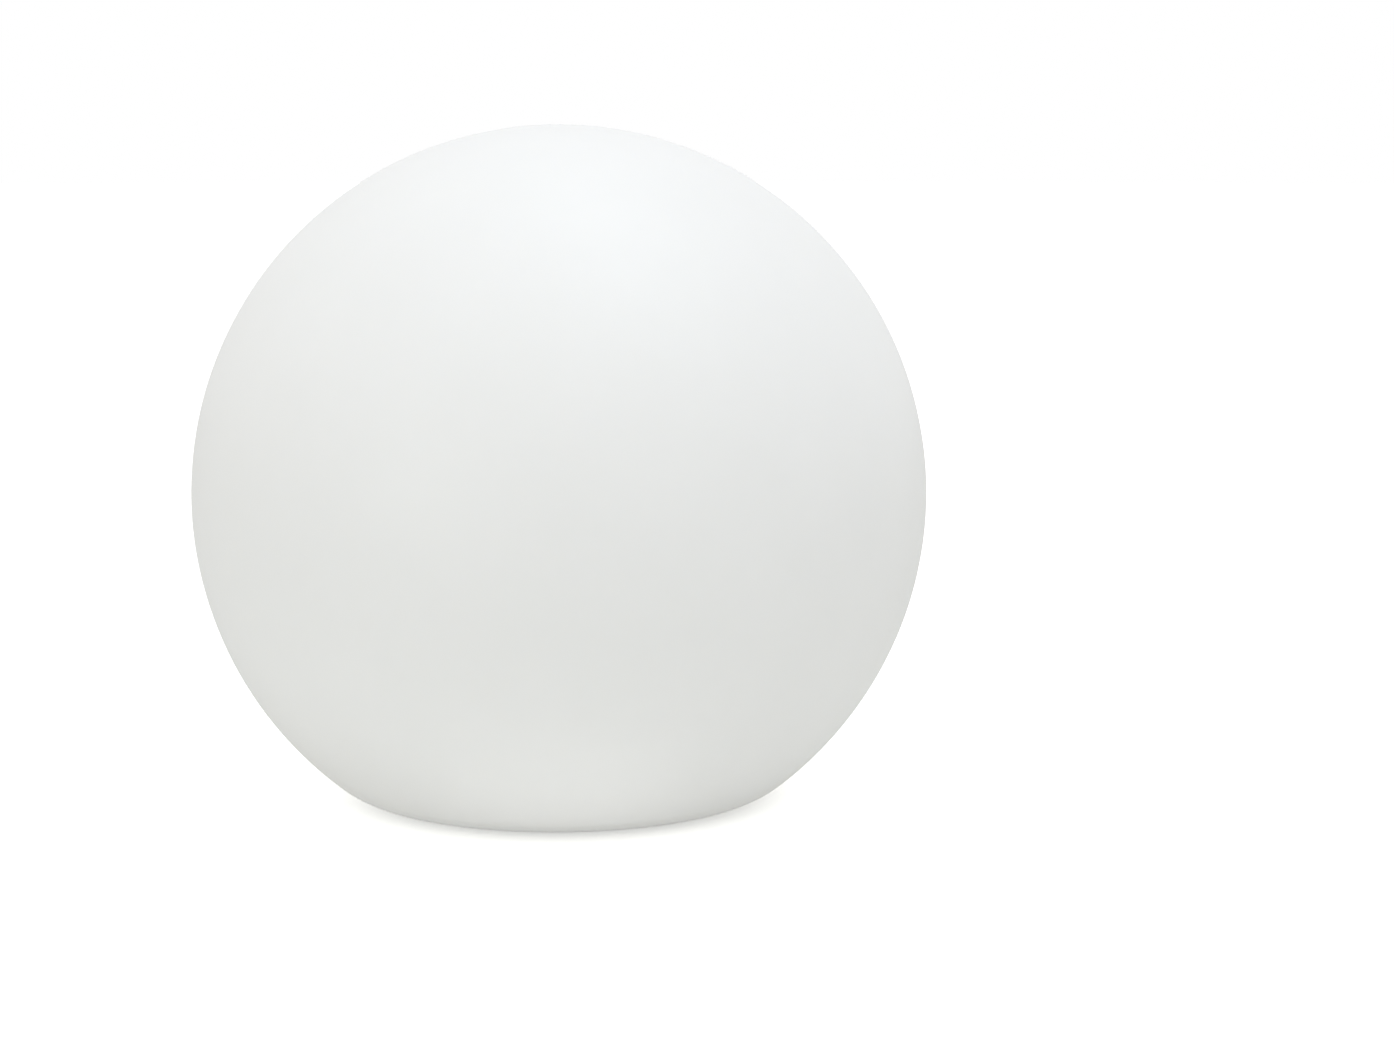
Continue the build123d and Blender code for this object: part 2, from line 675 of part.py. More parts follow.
TRAY_TOP = TRAY_BOTTOM + TRAY_FLOOR
TRAY_WIDTH = 42.0
TRAY_LENGTH = 72.4
EAR_RADIUS = 3.2
CLAMP_WIDTH = 10.0
CLAMP_STEEL = 0.8
CLAMP_LEG_Y = TRAY_LENGTH / 2 + SLIP + CLAMP_STEEL / 2


def screwed_ear(side, width, inner_y, low, high):
    """A rounded ear from inner_y out to one of the housing's two tall posts."""
    reach = TRAY_POST_Y - inner_y
    ear = block(width, reach, low, high, 0.0, side * (inner_y + reach / 2))
    ear += rod(EAR_RADIUS, low, high, 0.0, side * TRAY_POST_Y)
    return ear - rod(M3_HOLE, low - 1.0, high + 1.0, 0.0, side * TRAY_POST_Y)


def battery_tray():
    """The moulded tray that the battery lies in, with windows in its floor and sides."""
    tray = block(TRAY_WIDTH, TRAY_LENGTH, TRAY_BOTTOM, CELL_Z)
    tray = fillet(tray.edges().filter_by(Axis.Z), 4.0)
    tray -= block(TRAY_WIDTH - 2.8, TRAY_LENGTH - 3.0, TRAY_TOP, CELL_Z + 1.0)
    for side in (-1.0, 1.0):
        tray += screwed_ear(side, 2 * EAR_RADIUS, TRAY_LENGTH / 2 - 1.0, TRAY_BOTTOM, TRAY_TOP)
        tray -= block(24.0, 40.0, TRAY_BOTTOM + 5.0, CELL_Z + 1.0, side * TRAY_WIDTH / 2)
    for y in (-20.0, 0.0, 20.0):
        tray -= block(24.0, 8.0, TRAY_BOTTOM - 1.0, TRAY_TOP + 1.0, 0.0, y)
    return tray


def battery_clamp():
    """The bent steel strap that holds the battery down in its tray."""
    low = CELL_Z + SLEEVE_SIDE + 0.2
    high = low + CLAMP_STEEL
    strap = block(CLAMP_WIDTH, 2 * CLAMP_LEG_Y + CLAMP_STEEL, low, high)
    for side in (-1.0, 1.0):
        strap += block(CLAMP_WIDTH, CLAMP_STEEL, TRAY_TOP, high, 0.0, side * CLAMP_LEG_Y)
        inner_y = CLAMP_LEG_Y - CLAMP_STEEL / 2
        strap += screwed_ear(side, 2 * EAR_RADIUS, inner_y, TRAY_TOP, TRAY_TOP + CLAMP_STEEL)
    return strap


def clamp_screws():
    """The two screws through the clamp and the tray into the housing."""
    seat = TRAY_TOP + CLAMP_STEEL
    spots = (-TRAY_POST_Y, TRAY_POST_Y)
    return group(screw(0.0, y, seat, M3_HEAD, 1.8, M3_SHANK, 10.0, upward=False) for y in spots)


def battery_lead(y, plug_y):
    """One lead from the battery's side down to its plug."""
    side = -CELL_PITCH / 2 - SLEEVE_SIDE
    route = [
        (side, y, CELL_Z),
        (BATTERY_PLUG_X, y, CELL_Z),
        (BATTERY_PLUG_X, plug_y, CELL_Z - 5.0),
        (BATTERY_PLUG_X, plug_y, PLUG_TOP),
    ]
    return lead(route, 0.9, [2.6, 1.6])


def battery_lead_red():
    """The battery's positive lead."""
    return battery_lead(BATTERY_PLUG_Y + 3.0, BATTERY_PLUG_Y + 1.6)


def battery_lead_black():
    """The battery's negative lead."""
    return battery_lead(BATTERY_PLUG_Y - 1.4, BATTERY_PLUG_Y - 1.6)


# ---- light engine ----
LED_BOARD_RADIUS = 36.0
HARNESS_SLOT_X = -38.3
EMITTER_HEIGHT = 1.4
POCKET_FLOOR = 0.6
POCKET_RADIUS = 2.0


def led_carrier():
    """The white reflector plate that closes the battery bay and carries the light's board."""
    edge = CUP_INNER_RADIUS - 0.3
    rim_height = RIM_TOP - SLIP
    carrier = turned(
        [
            (0.0, CARRIER_BOTTOM),
            (edge, CARRIER_BOTTOM),
            (edge, rim_height),
            (edge - 1.4, rim_height),
            (edge - 3.2, CARRIER_TOP),
            (0.0, CARRIER_TOP),
        ]
    )
    for x, y, _ in around(LED_BOARD_SCREW_RADIUS, 4, start=45.0):
        carrier += rod(3.0, CARRIER_BOTTOM - 3.5, CARRIER_BOTTOM + 0.5, x, y)
        carrier -= rod(M3_SHANK + THREAD_GAP, CARRIER_BOTTOM - 3.0, CARRIER_TOP + 1.0, x, y)
    return carrier - block(3.4, 8.4, CARRIER_BOTTOM - 1.0, CARRIER_TOP + 1.0, HARNESS_SLOT_X)


def led_board():
    """The round aluminium-backed board of the light."""
    board = rod(LED_BOARD_RADIUS, CARRIER_TOP, LED_BOARD_TOP)
    for x, y, _ in around(LED_BOARD_SCREW_RADIUS, 4, start=45.0):
        board -= rod(M3_HOLE, CARRIER_TOP - 1.0, LED_BOARD_TOP + 1.0, x, y)
    return board


def led_board_screws():
    """The four screws of the light's board."""
    spots = around(LED_BOARD_SCREW_RADIUS, 4, start=45.0)
    return group(screw(x, y, LED_BOARD_TOP, M3_HEAD, 1.8, M3_SHANK, 6.0, upward=False) for x, y, _ in spots)


def led_spots():
    """Where the emitters stand: a ring of twelve and a ring of four."""
    return around(23.0, 12, start=15.0) + around(11.0, 4, start=45.0)


def led_emitters():
    """The emitters' white frames, each with a round pocket."""
    frames = []
    for x, y, angle in led_spots():
        frame = block(5.0, 5.0, 0.0, EMITTER_HEIGHT) - rod(POCKET_RADIUS, POCKET_FLOOR, EMITTER_HEIGHT + 1.0)
        frames.append(Pos(x, y, LED_BOARD_TOP) * Rot(0, 0, angle) * frame)
    return group(frames)


def led_resin():
    """The clear resin that fills the emitters' pockets."""
    low = LED_BOARD_TOP + POCKET_FLOOR
    return group(rod(POCKET_RADIUS, low, low + 0.7, x, y) for x, y, _ in led_spots())


def remote_receiver():
    """The infra-red receiver that stands in the middle of the light's board."""
    body = block(6.0, 4.6, LED_BOARD_TOP, LED_BOARD_TOP + 5.6)
    return body + Pos(0.0, 0.0, LED_BOARD_TOP + 5.2) * Sphere(1.9)


def harness_lead(y):
    """One lead from the control board up through the carrier to the light's board."""
    landing = -LED_BOARD_RADIUS + 2.0
    high = LED_BOARD_TOP + 4.0
    route = [
        (HARNESS_PLUG_X, y, PLUG_TOP),
        (HARNESS_PLUG_X, y, PLUG_TOP + 7.0),
        (HARNESS_SLOT_X, y, PLUG_TOP + 13.0),
        (HARNESS_SLOT_X, y, high),
        (landing, y, high),
        (landing, y, LED_BOARD_TOP),
    ]
    return lead(route, 0.7, [5.0, 5.0, 1.9, 1.9])


def led_harness():
    """The light's leads, one for each colour."""
    middle = (HARNESS_WIRES - 1) / 2
    return group(harness_lead(HARNESS_PITCH * (i - middle)) for i in range(HARNESS_WIRES))


# ---- dome ----
def dome_cap(offset):
    """A solid spherical cap inside the dome's outer surface by the offset."""
    sphere_radius = (DOME_RADIUS**2 + DOME_HEIGHT**2) / (2 * DOME_HEIGHT)
    centre_z = RIM_TOP + DOME_FLANGE_THICKNESS + DOME_HEIGHT - sphere_radius
    ball = Pos(0.0, 0.0, centre_z) * Sphere(sphere_radius - offset)
    return ball & block(200.0, 200.0, RIM_TOP - offset, RIM_TOP + 60.0)


def light_dome():
    """The frosted cover over the light, with a flange for its screws and a lip that holds the carrier."""
    flange_top = RIM_TOP + DOME_FLANGE_THICKNESS
    dome = dome_cap(0.0) + ring(DOME_RADIUS - 4.0, RIM_RADIUS, RIM_TOP, flange_top)
    dome -= dome_cap(DOME_WALL)
    dome += ring(CUP_INNER_RADIUS - 1.9, DOME_RADIUS, RIM_TOP, RIM_TOP + 1.2)
    for x, y, _ in around(RIM_BOLT_RADIUS, RIM_SCREWS, start=30.0):
        dome -= rod(M3_HOLE, RIM_TOP - 1.0, flange_top + 1.0, x, y)
    return dome


def dome_seal():
    """The O-ring in the housing's rim groove, under the dome's flange."""
    return Pos(0.0, 0.0, RIM_TOP - RIM_GROOVE_DEPTH / 2) * Torus(RIM_GROOVE_RADIUS, RIM_GROOVE_DEPTH / 2)


def dome_screws():
    """The six screws that hold the dome down."""
    seat = RIM_TOP + DOME_FLANGE_THICKNESS
    spots = around(RIM_BOLT_RADIUS, RIM_SCREWS, start=30.0)
    return group(screw(x, y, seat, M3_HEAD, 1.8, M3_SHANK, 11.0, upward=False) for x, y, _ in spots)


PIECES = [
    globe_shell,
    threaded_inserts,
    flange_gasket,
    module_housing,
    flange_screws,
    screw_seal_washers,
    socket_gasket,
    socket_body,
    usb_shell,
    usb_tongue,
    socket_nut,
    socket_board,
    charge_leads,
    charge_cap,
    cap_seal,
    button_bezel,
    power_button,
    button_spring,
    button_seal,
    button_clip,
    switch_plunger,
    switch_body,
    status_lens,
    status_led,
    control_board,
    board_screws,
    controller_chip,
    driver_transistors,
    power_inductor,
    filter_capacitors,
    battery_socket,
    battery_plug,
    harness_socket,
    harness_plug,
    battery_cells,
    battery_strips,
    protection_board,
    end_pad,
    battery_sleeve,
    battery_tray,
    battery_clamp,
    clamp_screws,
    battery_lead_red,
    battery_lead_black,
    led_carrier,
    led_board,
    led_board_screws,
    led_emitters,
    led_resin,
    remote_receiver,
    led_harness,
    light_dome,
    dome_seal,
    dome_screws,
]

os.makedirs("parts", exist_ok=True)
for piece in PIECES:
    export_step(piece(), f"parts/{piece.__name__}.step")
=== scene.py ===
import json
import math
from collections import namedtuple

import bmesh
import bpy
from mathutils import Matrix, Vector, noise


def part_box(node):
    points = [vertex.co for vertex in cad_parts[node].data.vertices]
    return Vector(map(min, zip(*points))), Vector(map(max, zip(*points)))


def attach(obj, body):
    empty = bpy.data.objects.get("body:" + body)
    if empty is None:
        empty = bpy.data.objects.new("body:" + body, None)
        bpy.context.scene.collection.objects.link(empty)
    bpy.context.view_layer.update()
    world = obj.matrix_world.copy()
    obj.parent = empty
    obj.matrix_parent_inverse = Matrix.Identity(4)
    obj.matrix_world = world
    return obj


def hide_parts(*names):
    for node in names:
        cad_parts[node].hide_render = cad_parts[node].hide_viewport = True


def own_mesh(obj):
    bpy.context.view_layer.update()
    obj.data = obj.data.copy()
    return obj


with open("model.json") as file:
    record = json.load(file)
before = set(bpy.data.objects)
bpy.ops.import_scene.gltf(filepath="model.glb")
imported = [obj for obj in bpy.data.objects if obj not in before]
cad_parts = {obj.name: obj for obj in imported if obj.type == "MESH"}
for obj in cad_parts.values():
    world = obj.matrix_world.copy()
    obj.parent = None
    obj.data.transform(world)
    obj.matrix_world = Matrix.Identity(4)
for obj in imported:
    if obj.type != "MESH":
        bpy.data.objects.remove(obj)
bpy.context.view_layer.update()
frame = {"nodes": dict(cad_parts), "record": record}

MM = 0.001
SAME = 0.001  # lengths in millimetres that differ by less are the same
SLIVER = 0.001  # edges shorter than this, in millimetres, are taken out after a cut

# ---- where the CAD pieces stand, from the frame ----
BODY_OF = {node: body for body, nodes in frame["record"]["behaviour"]["bodies"].items() for node in nodes}


class Spot(namedtuple("Spot", "x y low high half_x half_y")):
    """A box's middle, its lowest and highest point and its half sizes, in millimetres."""

    @property
    def z(self):
        """The height of the box's middle."""
        return (self.low + self.high) / 2


def spot_between(low, high):
    """The spot of a box given by two corners in metres."""
    low, high = low / MM, high / MM
    middle, half = (low + high) / 2, (high - low) / 2
    return Spot(middle.x, middle.y, low.z, high.z, half.x, half.y)


def spot(node):
    """The spot of a whole CAD node."""
    return spot_between(*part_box(node))


def solids(node):
    """The spots of a CAD node's separate solids, in the order of the mesh."""
    bm = bmesh.new()
    bm.from_mesh(frame["nodes"][node].data)
    bmesh.ops.remove_doubles(bm, verts=bm.verts, dist=MM / 1000)
    bm.verts.ensure_lookup_table()
    seen = set()
    spots = []
    for first in bm.verts:
        if first in seen:
            continue
        seen.add(first)
        waiting = [first]
        low, high = first.co.copy(), first.co.copy()
        while waiting:
            vert = waiting.pop()
            for i in range(3):
                low[i] = min(low[i], vert.co[i])
                high[i] = max(high[i], vert.co[i])
            for edge in vert.link_edges:
                other = edge.other_vert(vert)
                if other not in seen:
                    seen.add(other)
                    waiting.append(other)
        spots.append(spot_between(low, high))
    bm.free()
    return spots


# ---- mesh helpers: every shape is added to a bmesh, in millimetres ----
def polar(radius, turn, x=0.0, y=0.0):
    """The point at a distance and an angle from x, y."""
    return x + radius * math.cos(turn), y + radius * math.sin(turn)


def bend(x, z, radius, start, end, steps):
    """Points on an arc in a section, as (radius, height). Angles are in degrees from outwards, upwards."""
    turns = [math.radians(start + (end - start) * i / steps) for i in range(steps + 1)]
    return [polar(radius, turn, x, z) for turn in turns]


def soften(corners, steps=4):
    """A closed section from (radius, height, edge) corners, each rounded over its edge length."""
    points = []
    for i, (x, z, edge) in enumerate(corners):
        if edge <= 0:
            points.append((x, z))
            continue
        corner = Vector((x, z))
        ends = []
        for x, z, next_edge in (corners[i - 1], corners[(i + 1) % len(corners)]):
            away = Vector((x, z)) - corner
            share = 0.49 if next_edge > 0 else 0.98
            ends.append(corner + away.normalized() * min(edge, share * away.length))
        start, end = ends
        for k in range(steps + 1):
            t = k / steps
            point = start * (1 - t) ** 2 + corner * 2 * t * (1 - t) + end * t**2
            points.append((point.x, point.y))
    return points


def add_lathe(bm, outline, steps, x=0.0, y=0.0, paint=0, wave=None):
    """Adds a body of revolution about the upright axis through x, y, from a closed (radius, height) section.

    wave changes a point's radius by its radius, height and angle, for threads and grips.
    """
    rings = []
    for radius, height in outline:
        if radius < SAME:
            rings.append([bm.verts.new((x, y, height))])
            continue
        ring = []
        for i in range(steps):
            turn = math.tau * i / steps
            reach = wave(radius, height, turn) if wave else radius
            ring.append(bm.verts.new((*polar(reach, turn, x, y), height)))
        rings.append(ring)
    pairs = list(zip(rings, rings[1:]))
    if len(rings[0]) > 1 or len(rings[-1]) > 1:
        pairs.append((rings[-1], rings[0]))
    for a, b in pairs:
        for i in range(steps):
            j = (i + 1) % steps
            corners = list(dict.fromkeys([a[i % len(a)], a[j % len(a)], b[j % len(b)], b[i % len(b)]]))
            if len(corners) > 2:
                bm.faces.new(corners).material_index = paint


def plate(inner, outer, low, high, edges=(0, 0, 0, 0)):
    """The (radius, height, edge) corners of a ring's section, or a disc's if inner is 0, from low inside."""
    corners = ((inner, low), (outer, low), (outer, high), (inner, high))
    return [(*corner, edge) for corner, edge in zip(corners, edges)]


def turned(bm, corners, steps, at, paint=0, rounds=4, wave=None):
    """Adds a body of revolution on a spot's axis from (radius, height, edge) corners."""
    add_lathe(bm, soften(corners, rounds), steps, at.x, at.y, paint, wave)


def merge(bm, part, place=None, paint=None):
    """Moves one bmesh into another and frees it."""
    if place is not None:
        bmesh.ops.transform(part, matrix=place, verts=part.verts)
    if paint is not None:
        for face in part.faces:
            face.material_index = paint
    carrier = bpy.data.meshes.new("carrier")
    part.to_mesh(carrier)
    part.free()
    bm.from_mesh(carrier)
    bpy.data.meshes.remove(carrier)


def add_block(bm, x, y, low, high, width, depth, edge=0.0, turn=0.0, paint=0, steps=2):
    """Adds an upright box, width across X and depth across Y, with rounded edges, turned about its middle."""
    part = bmesh.new()
    bmesh.ops.create_cube(part, size=1.0)
    bmesh.ops.scale(part, vec=(width, depth, high - low), verts=part.verts)
    if edge > 0:
        bmesh.ops.bevel(part, geom=part.edges[:], offset=edge, segments=steps, profile=0.5, affect="EDGES")
    place = Matrix.Translation((x, y, (low + high) / 2)) @ Matrix.Rotation(turn, 4, "Z")
    merge(bm, part, place, paint)


def add_prism(bm, outline, low, high, edge=0.0, place=None, paint=0):
    """Adds a flat shape of (x, y) corners with a thickness and a rounded rim."""
    part = bmesh.new()
    base = part.faces.new([part.verts.new((px, py, low)) for px, py in outline])
    grown = bmesh.ops.extrude_face_region(part, geom=[base])["geom"]
    top = [item for item in grown if isinstance(item, bmesh.types.BMVert)]
    bmesh.ops.translate(part, vec=(0, 0, high - low), verts=top)
    bmesh.ops.recalc_face_normals(part, faces=part.faces)
    if edge > 0:
        rim = [e for e in part.edges if abs(e.verts[0].co.z - e.verts[1].co.z) < SAME]
        bmesh.ops.bevel(part, geom=rim, offset=edge, segments=2, profile=0.5, affect="EDGES")
    merge(bm, part, place, paint)


def oval(width, height, steps=10):
    """The (x, y) corners of a stadium, width along Y and height along X."""
    radius = height / 2
    straight = width / 2 - radius
    corners = []
    for end, start in ((1, 0), (-1, math.pi)):
        for i in range(steps + 1):
            corners.append(polar(radius, start + math.pi * i / steps, 0, end * straight))
    return corners


def add_rings(bm, rings, paint=0, closed=True):
    """Joins loops of points of one length with faces, the last to the first if closed, or caps both ends."""
    loops = [[bm.verts.new(p) for p in ring] for ring in rings]
    pairs = list(zip(loops, loops[1:]))
    if closed:
        pairs.append((loops[-1], loops[0]))
    for a, b in pairs:
        for i in range(len(a)):
            j = (i + 1) % len(a)
            bm.faces.new((a[i], a[j], b[j], b[i])).material_index = paint
    if not closed:
        bm.faces.new(loops[0][::-1]).material_index = paint
        bm.faces.new(loops[-1]).material_index = paint


def raised(*levels, x=0.0, y=0.0):
    """Loops of points from (outline, height) pairs, moved by x, y."""
    return [[Vector((x + px, y + py, z)) for px, py in outline] for outline, z in levels]


def add_tube(bm, points, radius, sides=12, closed=False, paint=0):
    """Adds a round wire along a list of points."""
    count = len(points)
    rings = []
    side = None
    for i, point in enumerate(points):
        after = points[(i + 1) % count] if closed or i + 1 < count else point
        before = points[i - 1] if closed or i > 0 else point
        ahead = (after - before).normalized()
        if side is None:
            side = ahead.orthogonal().normalized()
        side = (side - ahead * side.dot(ahead)).normalized()
        across = ahead.cross(side)
        ring = []
        for k in range(sides):
            turn = math.tau * k / sides
            ring.append(point + (side * math.cos(turn) + across * math.sin(turn)) * radius)
        rings.append(ring)
    add_rings(bm, rings, paint, closed)


def smooth_route(corners, steps=8):
    """Points on the smooth line that runs near a route's corners and through its ends."""
    corners = [Vector(c) for c in corners]
    points = [corners[0]]
    last = len(corners) - 1
    for i in range(1, last):
        start = corners[0] if i == 1 else (corners[i - 1] + corners[i]) / 2
        end = corners[last] if i == last - 1 else (corners[i] + corners[i + 1]) / 2
        for k in range(1, steps + 1):
            t = k / steps
            points.append(start * (1 - t) ** 2 + corners[i] * 2 * t * (1 - t) + end * t**2)
    return points


def add_torus(bm, x, y, z, major, minor, steps=96, sides=16, paint=0):
    """Adds a ring of round section that lies flat."""
    points = [Vector((*polar(major, math.tau * i / steps, x, y), z)) for i in range(steps)]
    add_tube(bm, points, minor, sides, closed=True, paint=paint)


def finish_mesh(bm, name, *materials, sharp=35):
    """Turns a bmesh into an object of its own with smooth faces, and sharp edges above an angle."""
    bmesh.ops.recalc_face_normals(bm, faces=bm.faces)
    mesh = bpy.data.meshes.new(name)
    bm.to_mesh(mesh)
    bm.free()
    mesh.shade_smooth()
    mesh.set_sharp_from_angle(angle=math.radians(sharp))
    for material in materials:
        mesh.materials.append(material)
    piece = bpy.data.objects.new(name, mesh)
    bpy.context.scene.collection.objects.link(piece)
    return piece


def carve(piece, tool_bm, operation="DIFFERENCE", sharp=35):
    """Cuts closed shapes out of a piece, or joins them to it."""
    tool = finish_mesh(tool_bm, "carving_tool")
    modifier = piece.modifiers.new("carve", "BOOLEAN")
    modifier.operation = operation
    modifier.solver = "EXACT"
    modifier.object = tool
    bpy.context.view_layer.update()
    carved = bpy.data.meshes.new_from_object(piece.evaluated_get(bpy.context.evaluated_depsgraph_get()))
    piece.modifiers.remove(modifier)
    bpy.data.objects.remove(tool)
    bm = bmesh.new()
    bm.from_mesh(carved)
    bmesh.ops.dissolve_degenerate(bm, dist=SLIVER, edges=bm.edges)
    bm.to_mesh(carved)
    bm.free()
    old = piece.data
    name = old.name
    piece.data = carved
    bpy.data.meshes.remove(old)
    carved.name = name
    carved.shade_smooth()
    carved.set_sharp_from_angle(angle=math.radians(sharp))
    return piece


def detail(piece, node):
    """Brings a finished piece to metres. It rides on a CAD node's body."""
    piece.data.transform(Matrix.Scale(MM, 4))
    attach(piece, BODY_OF[node])


def stand_for(piece, node):
    """Brings a finished piece to metres, in a CAD node's place."""
    detail(piece, node)
    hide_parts(node)


# ---- materials: sizes of grain and relief are in millimetres ----
def feed(links, node, **inputs):
    """Gives a node's inputs their values, or links them to other nodes' outputs. _ stands for a space."""
    for name, value in inputs.items():
        socket = node.inputs[name.replace("_", " ")]
        if isinstance(value, bpy.types.NodeSocket):
            links.new(value, socket)
        else:
            socket.default_value = value
    return node


class Paint:
    """A material with its shader. The methods that add texture nodes give back an output."""

    def __init__(self, name):
        self.material = bpy.data.materials.new(name)
        self.material.use_nodes = True
        self.nodes, self.links = self.material.node_tree.nodes, self.material.node_tree.links
        self.shader = self.nodes["Principled BSDF"]

    def node(self, kind, **inputs):
        """Adds a node."""
        return feed(self.links, self.nodes.new("ShaderNode" + kind), **inputs)

    def shade(self, **inputs):
        """Sets the shader's inputs."""
        feed(self.links, self.shader, **inputs)

    def place(self):
        """Where a point is on its object."""
        return self.node("TexCoord").outputs["Object"]

    def grain(self, size, detail=3.0, stretch=(1, 1, 1)):
        """A noise texture in object space. size is its grain, along each axis times stretch."""
        squeeze = self.node("Mapping", Vector=self.place(), Scale=[1 / (size * MM * s) for s in stretch])
        cloud = self.node("TexNoise", Vector=squeeze.outputs["Vector"], Scale=1.0, Detail=detail)
        return cloud.outputs["Fac"]

    def spread(self, factor, low, high, start=0.3, end=0.7):
        """A number that goes from low to high as factor goes from start to end."""
        span = self.node("MapRange", Value=factor, To_Min=low, To_Max=high, From_Min=start, From_Max=end)
        return span.outputs["Result"]

    def tint(self, factor, colour_a, colour_b, start=0.3, end=0.7):
        """A colour that goes from colour_a to colour_b as factor goes from start to end."""
        blend = self.node("Mix")
        blend.data_type = "RGBA"
        ends = [socket for socket in blend.inputs if socket.type == "RGBA"]
        for socket, colour in zip(ends, (colour_a, colour_b)):
            socket.default_value = (*colour, 1)
        self.links.new(self.spread(factor, 0, 1, start, end), blend.inputs[0])
        return next(socket for socket in blend.outputs if socket.type == "RGBA")

    def relief(self, height, depth):
        """Raises the surface by depth where height goes from 0 to 1."""
        self.shade(Normal=self.node("Bump", Height=height, Distance=depth * MM).outputs["Normal"])


def shaded(colour, share):
    """A colour with its light multiplied by share."""
    return tuple(c * share for c in colour)


def surface(name, colour, other, rough, cloud_size, fine_size, depth, stretch=(1, 1, 1), **fixed):
    """A surface whose colour and roughness drift, with a fine relief. fixed names shader sockets."""
    paint = Paint(name)
    fine = paint.grain(fine_size, 3.0, stretch)
    paint.shade(
        Base_Color=paint.tint(paint.grain(cloud_size, 4.0), colour, other),
        Roughness=paint.spread(fine, *rough), **fixed,
    )
    paint.relief(fine, depth)
    return paint.material


def plastic(name, colour, rough=(0.36, 0.5), grain_size=0.4, depth=0.02, **fixed):
    """Moulded plastic with a spark-eroded grain."""
    return surface(name, colour, shaded(colour, 0.96), rough, 9, grain_size, depth, **fixed)


def rubber(name, colour, rough=(0.55, 0.75), depth=0.02, **fixed):
    """Moulded rubber or silicone, a little dusty."""
    dusty = tuple(c + 0.015 for c in colour)
    return surface(name, colour, dusty, rough, 3, 0.25, depth, Specular_IOR_Level=0.35, **fixed)


def metal(name, colour, rough=(0.22, 0.42), stretch=(1, 1, 0.08), depth=0.006, **fixed):
    """Bare metal with fine marks that run round it."""
    other = shaded(colour, 0.85)
    return surface(name, colour, other, rough, 2, 0.6, depth, stretch, Metallic=1.0, **fixed)


def shrink_film():
    """Thin blue shrink film with soft wrinkles across the cells."""
    paint = Paint("blue_shrink_film")
    cloud = paint.grain(8, 4.0)
    paint.shade(
        Coat_Weight=0.4, Coat_Roughness=0.12, Roughness=paint.spread(cloud, 0.22, 0.36),
        Base_Color=paint.tint(cloud, (0.015, 0.12, 0.34), (0.025, 0.17, 0.45)),
    )
    paint.relief(paint.grain(2.2, 2.0, (3, 1, 3)), 0.12)
    return paint.material


def foam(pore=0.5):
    """Closed-cell foam with small pores; their pits are painted darker, which is painted shade."""
    paint = Paint("closed_cell_foam")
    pores = paint.node("TexVoronoi", Vector=paint.place(), Scale=1 / (pore * MM)).outputs["Distance"]
    paint.shade(
        Specular_IOR_Level=0.2, Roughness=paint.spread(pores, 0.95, 0.75),
        # the pits of the pores get the darker colour: painted shade in the recesses
        Base_Color=paint.tint(pores, (0.03, 0.03, 0.032), (0.13, 0.13, 0.14), 0.0, 0.5),
    )
    paint.relief(pores, 0.15)
    return paint.material


def solder_mask(thread=0.5):
    """Green solder mask over the glass weave of a circuit board."""
    paint = Paint("green_solder_mask")
    greens = {"Color1": (0.012, 0.125, 0.05, 1), "Color2": (0.015, 0.14, 0.058, 1)}
    weave = paint.node("TexChecker", Vector=paint.place(), Scale=1 / (thread * MM), **greens)
    film = paint.grain(0.9)
    paint.shade(
        Coat_Weight=0.3, Coat_Roughness=0.15, Roughness=paint.spread(film, 0.28, 0.42),
        Base_Color=weave.outputs["Color"],
    )
    paint.relief(film, 0.01)
    return paint.material


SHELL_PE = surface(
    "milky_polyethylene", (0.86, 0.864, 0.858), (0.872, 0.875, 0.87), (0.42, 0.5), 45, 1.6, 0.03,
    Subsurface_Weight=0.2, Subsurface_Radius=(1.0, 0.95, 0.85), Subsurface_Scale=6 * MM, IOR=1.51,
)
HOUSING = plastic("housing_plastic", (0.66, 0.67, 0.675), grain_size=0.35, depth=0.035)
ICON = plastic("icon_plastic", (0.16, 0.165, 0.17))
DARK = plastic("socket_plastic", (0.028, 0.03, 0.034))
CAP = plastic("cap_plastic", (0.075, 0.08, 0.085), depth=0.04)
BUTTON = plastic("button_plastic", (0.1, 0.105, 0.115), rough=(0.28, 0.4))
BUTTON_MARK = plastic("button_mark", (0.7, 0.71, 0.72), rough=(0.3, 0.45))
SILICONE = rubber("grey_silicone", (0.2, 0.205, 0.21))
SEAL = rubber("black_seal", (0.014, 0.014, 0.015))
STEEL = metal("stainless_steel", (0.6, 0.59, 0.57))
SPRING = metal("spring_steel", (0.52, 0.52, 0.53), rough=(0.16, 0.32), stretch=(1, 1, 1))
BRASS = metal("brass", (0.72, 0.5, 0.2))
NICKEL = metal("nickel", (0.66, 0.64, 0.58), rough=(0.18, 0.36), stretch=(1, 1, 1))
GOLD = metal("gold_flash", (0.85, 0.6, 0.24), rough=(0.2, 0.34), stretch=(1, 1, 1))
SOLDER = surface(
    "solder", (0.68, 0.68, 0.67), (0.5, 0.5, 0.5), (0.2, 0.45), 0.5, 0.15, 0.015, Metallic=1.0,
)
COPPER = metal("enamelled_copper", (0.62, 0.26, 0.1), rough=(0.18, 0.3), stretch=(1, 1, 1))
CAP_FILM = plastic("capacitor_film", (0.02, 0.025, 0.06), rough=(0.2, 0.32), depth=0.006)
MASK = solder_mask()
TRACK = plastic("copper_under_mask", (0.03, 0.25, 0.1), rough=(0.25, 0.4), grain_size=0.8, depth=0.005)
MASK_WHITE = plastic("white_solder_mask", (0.78, 0.79, 0.78), rough=(0.3, 0.42), depth=0.008)
TRACK_WHITE = plastic("copper_under_white", (0.66, 0.665, 0.64), rough=(0.28, 0.4), depth=0.005)
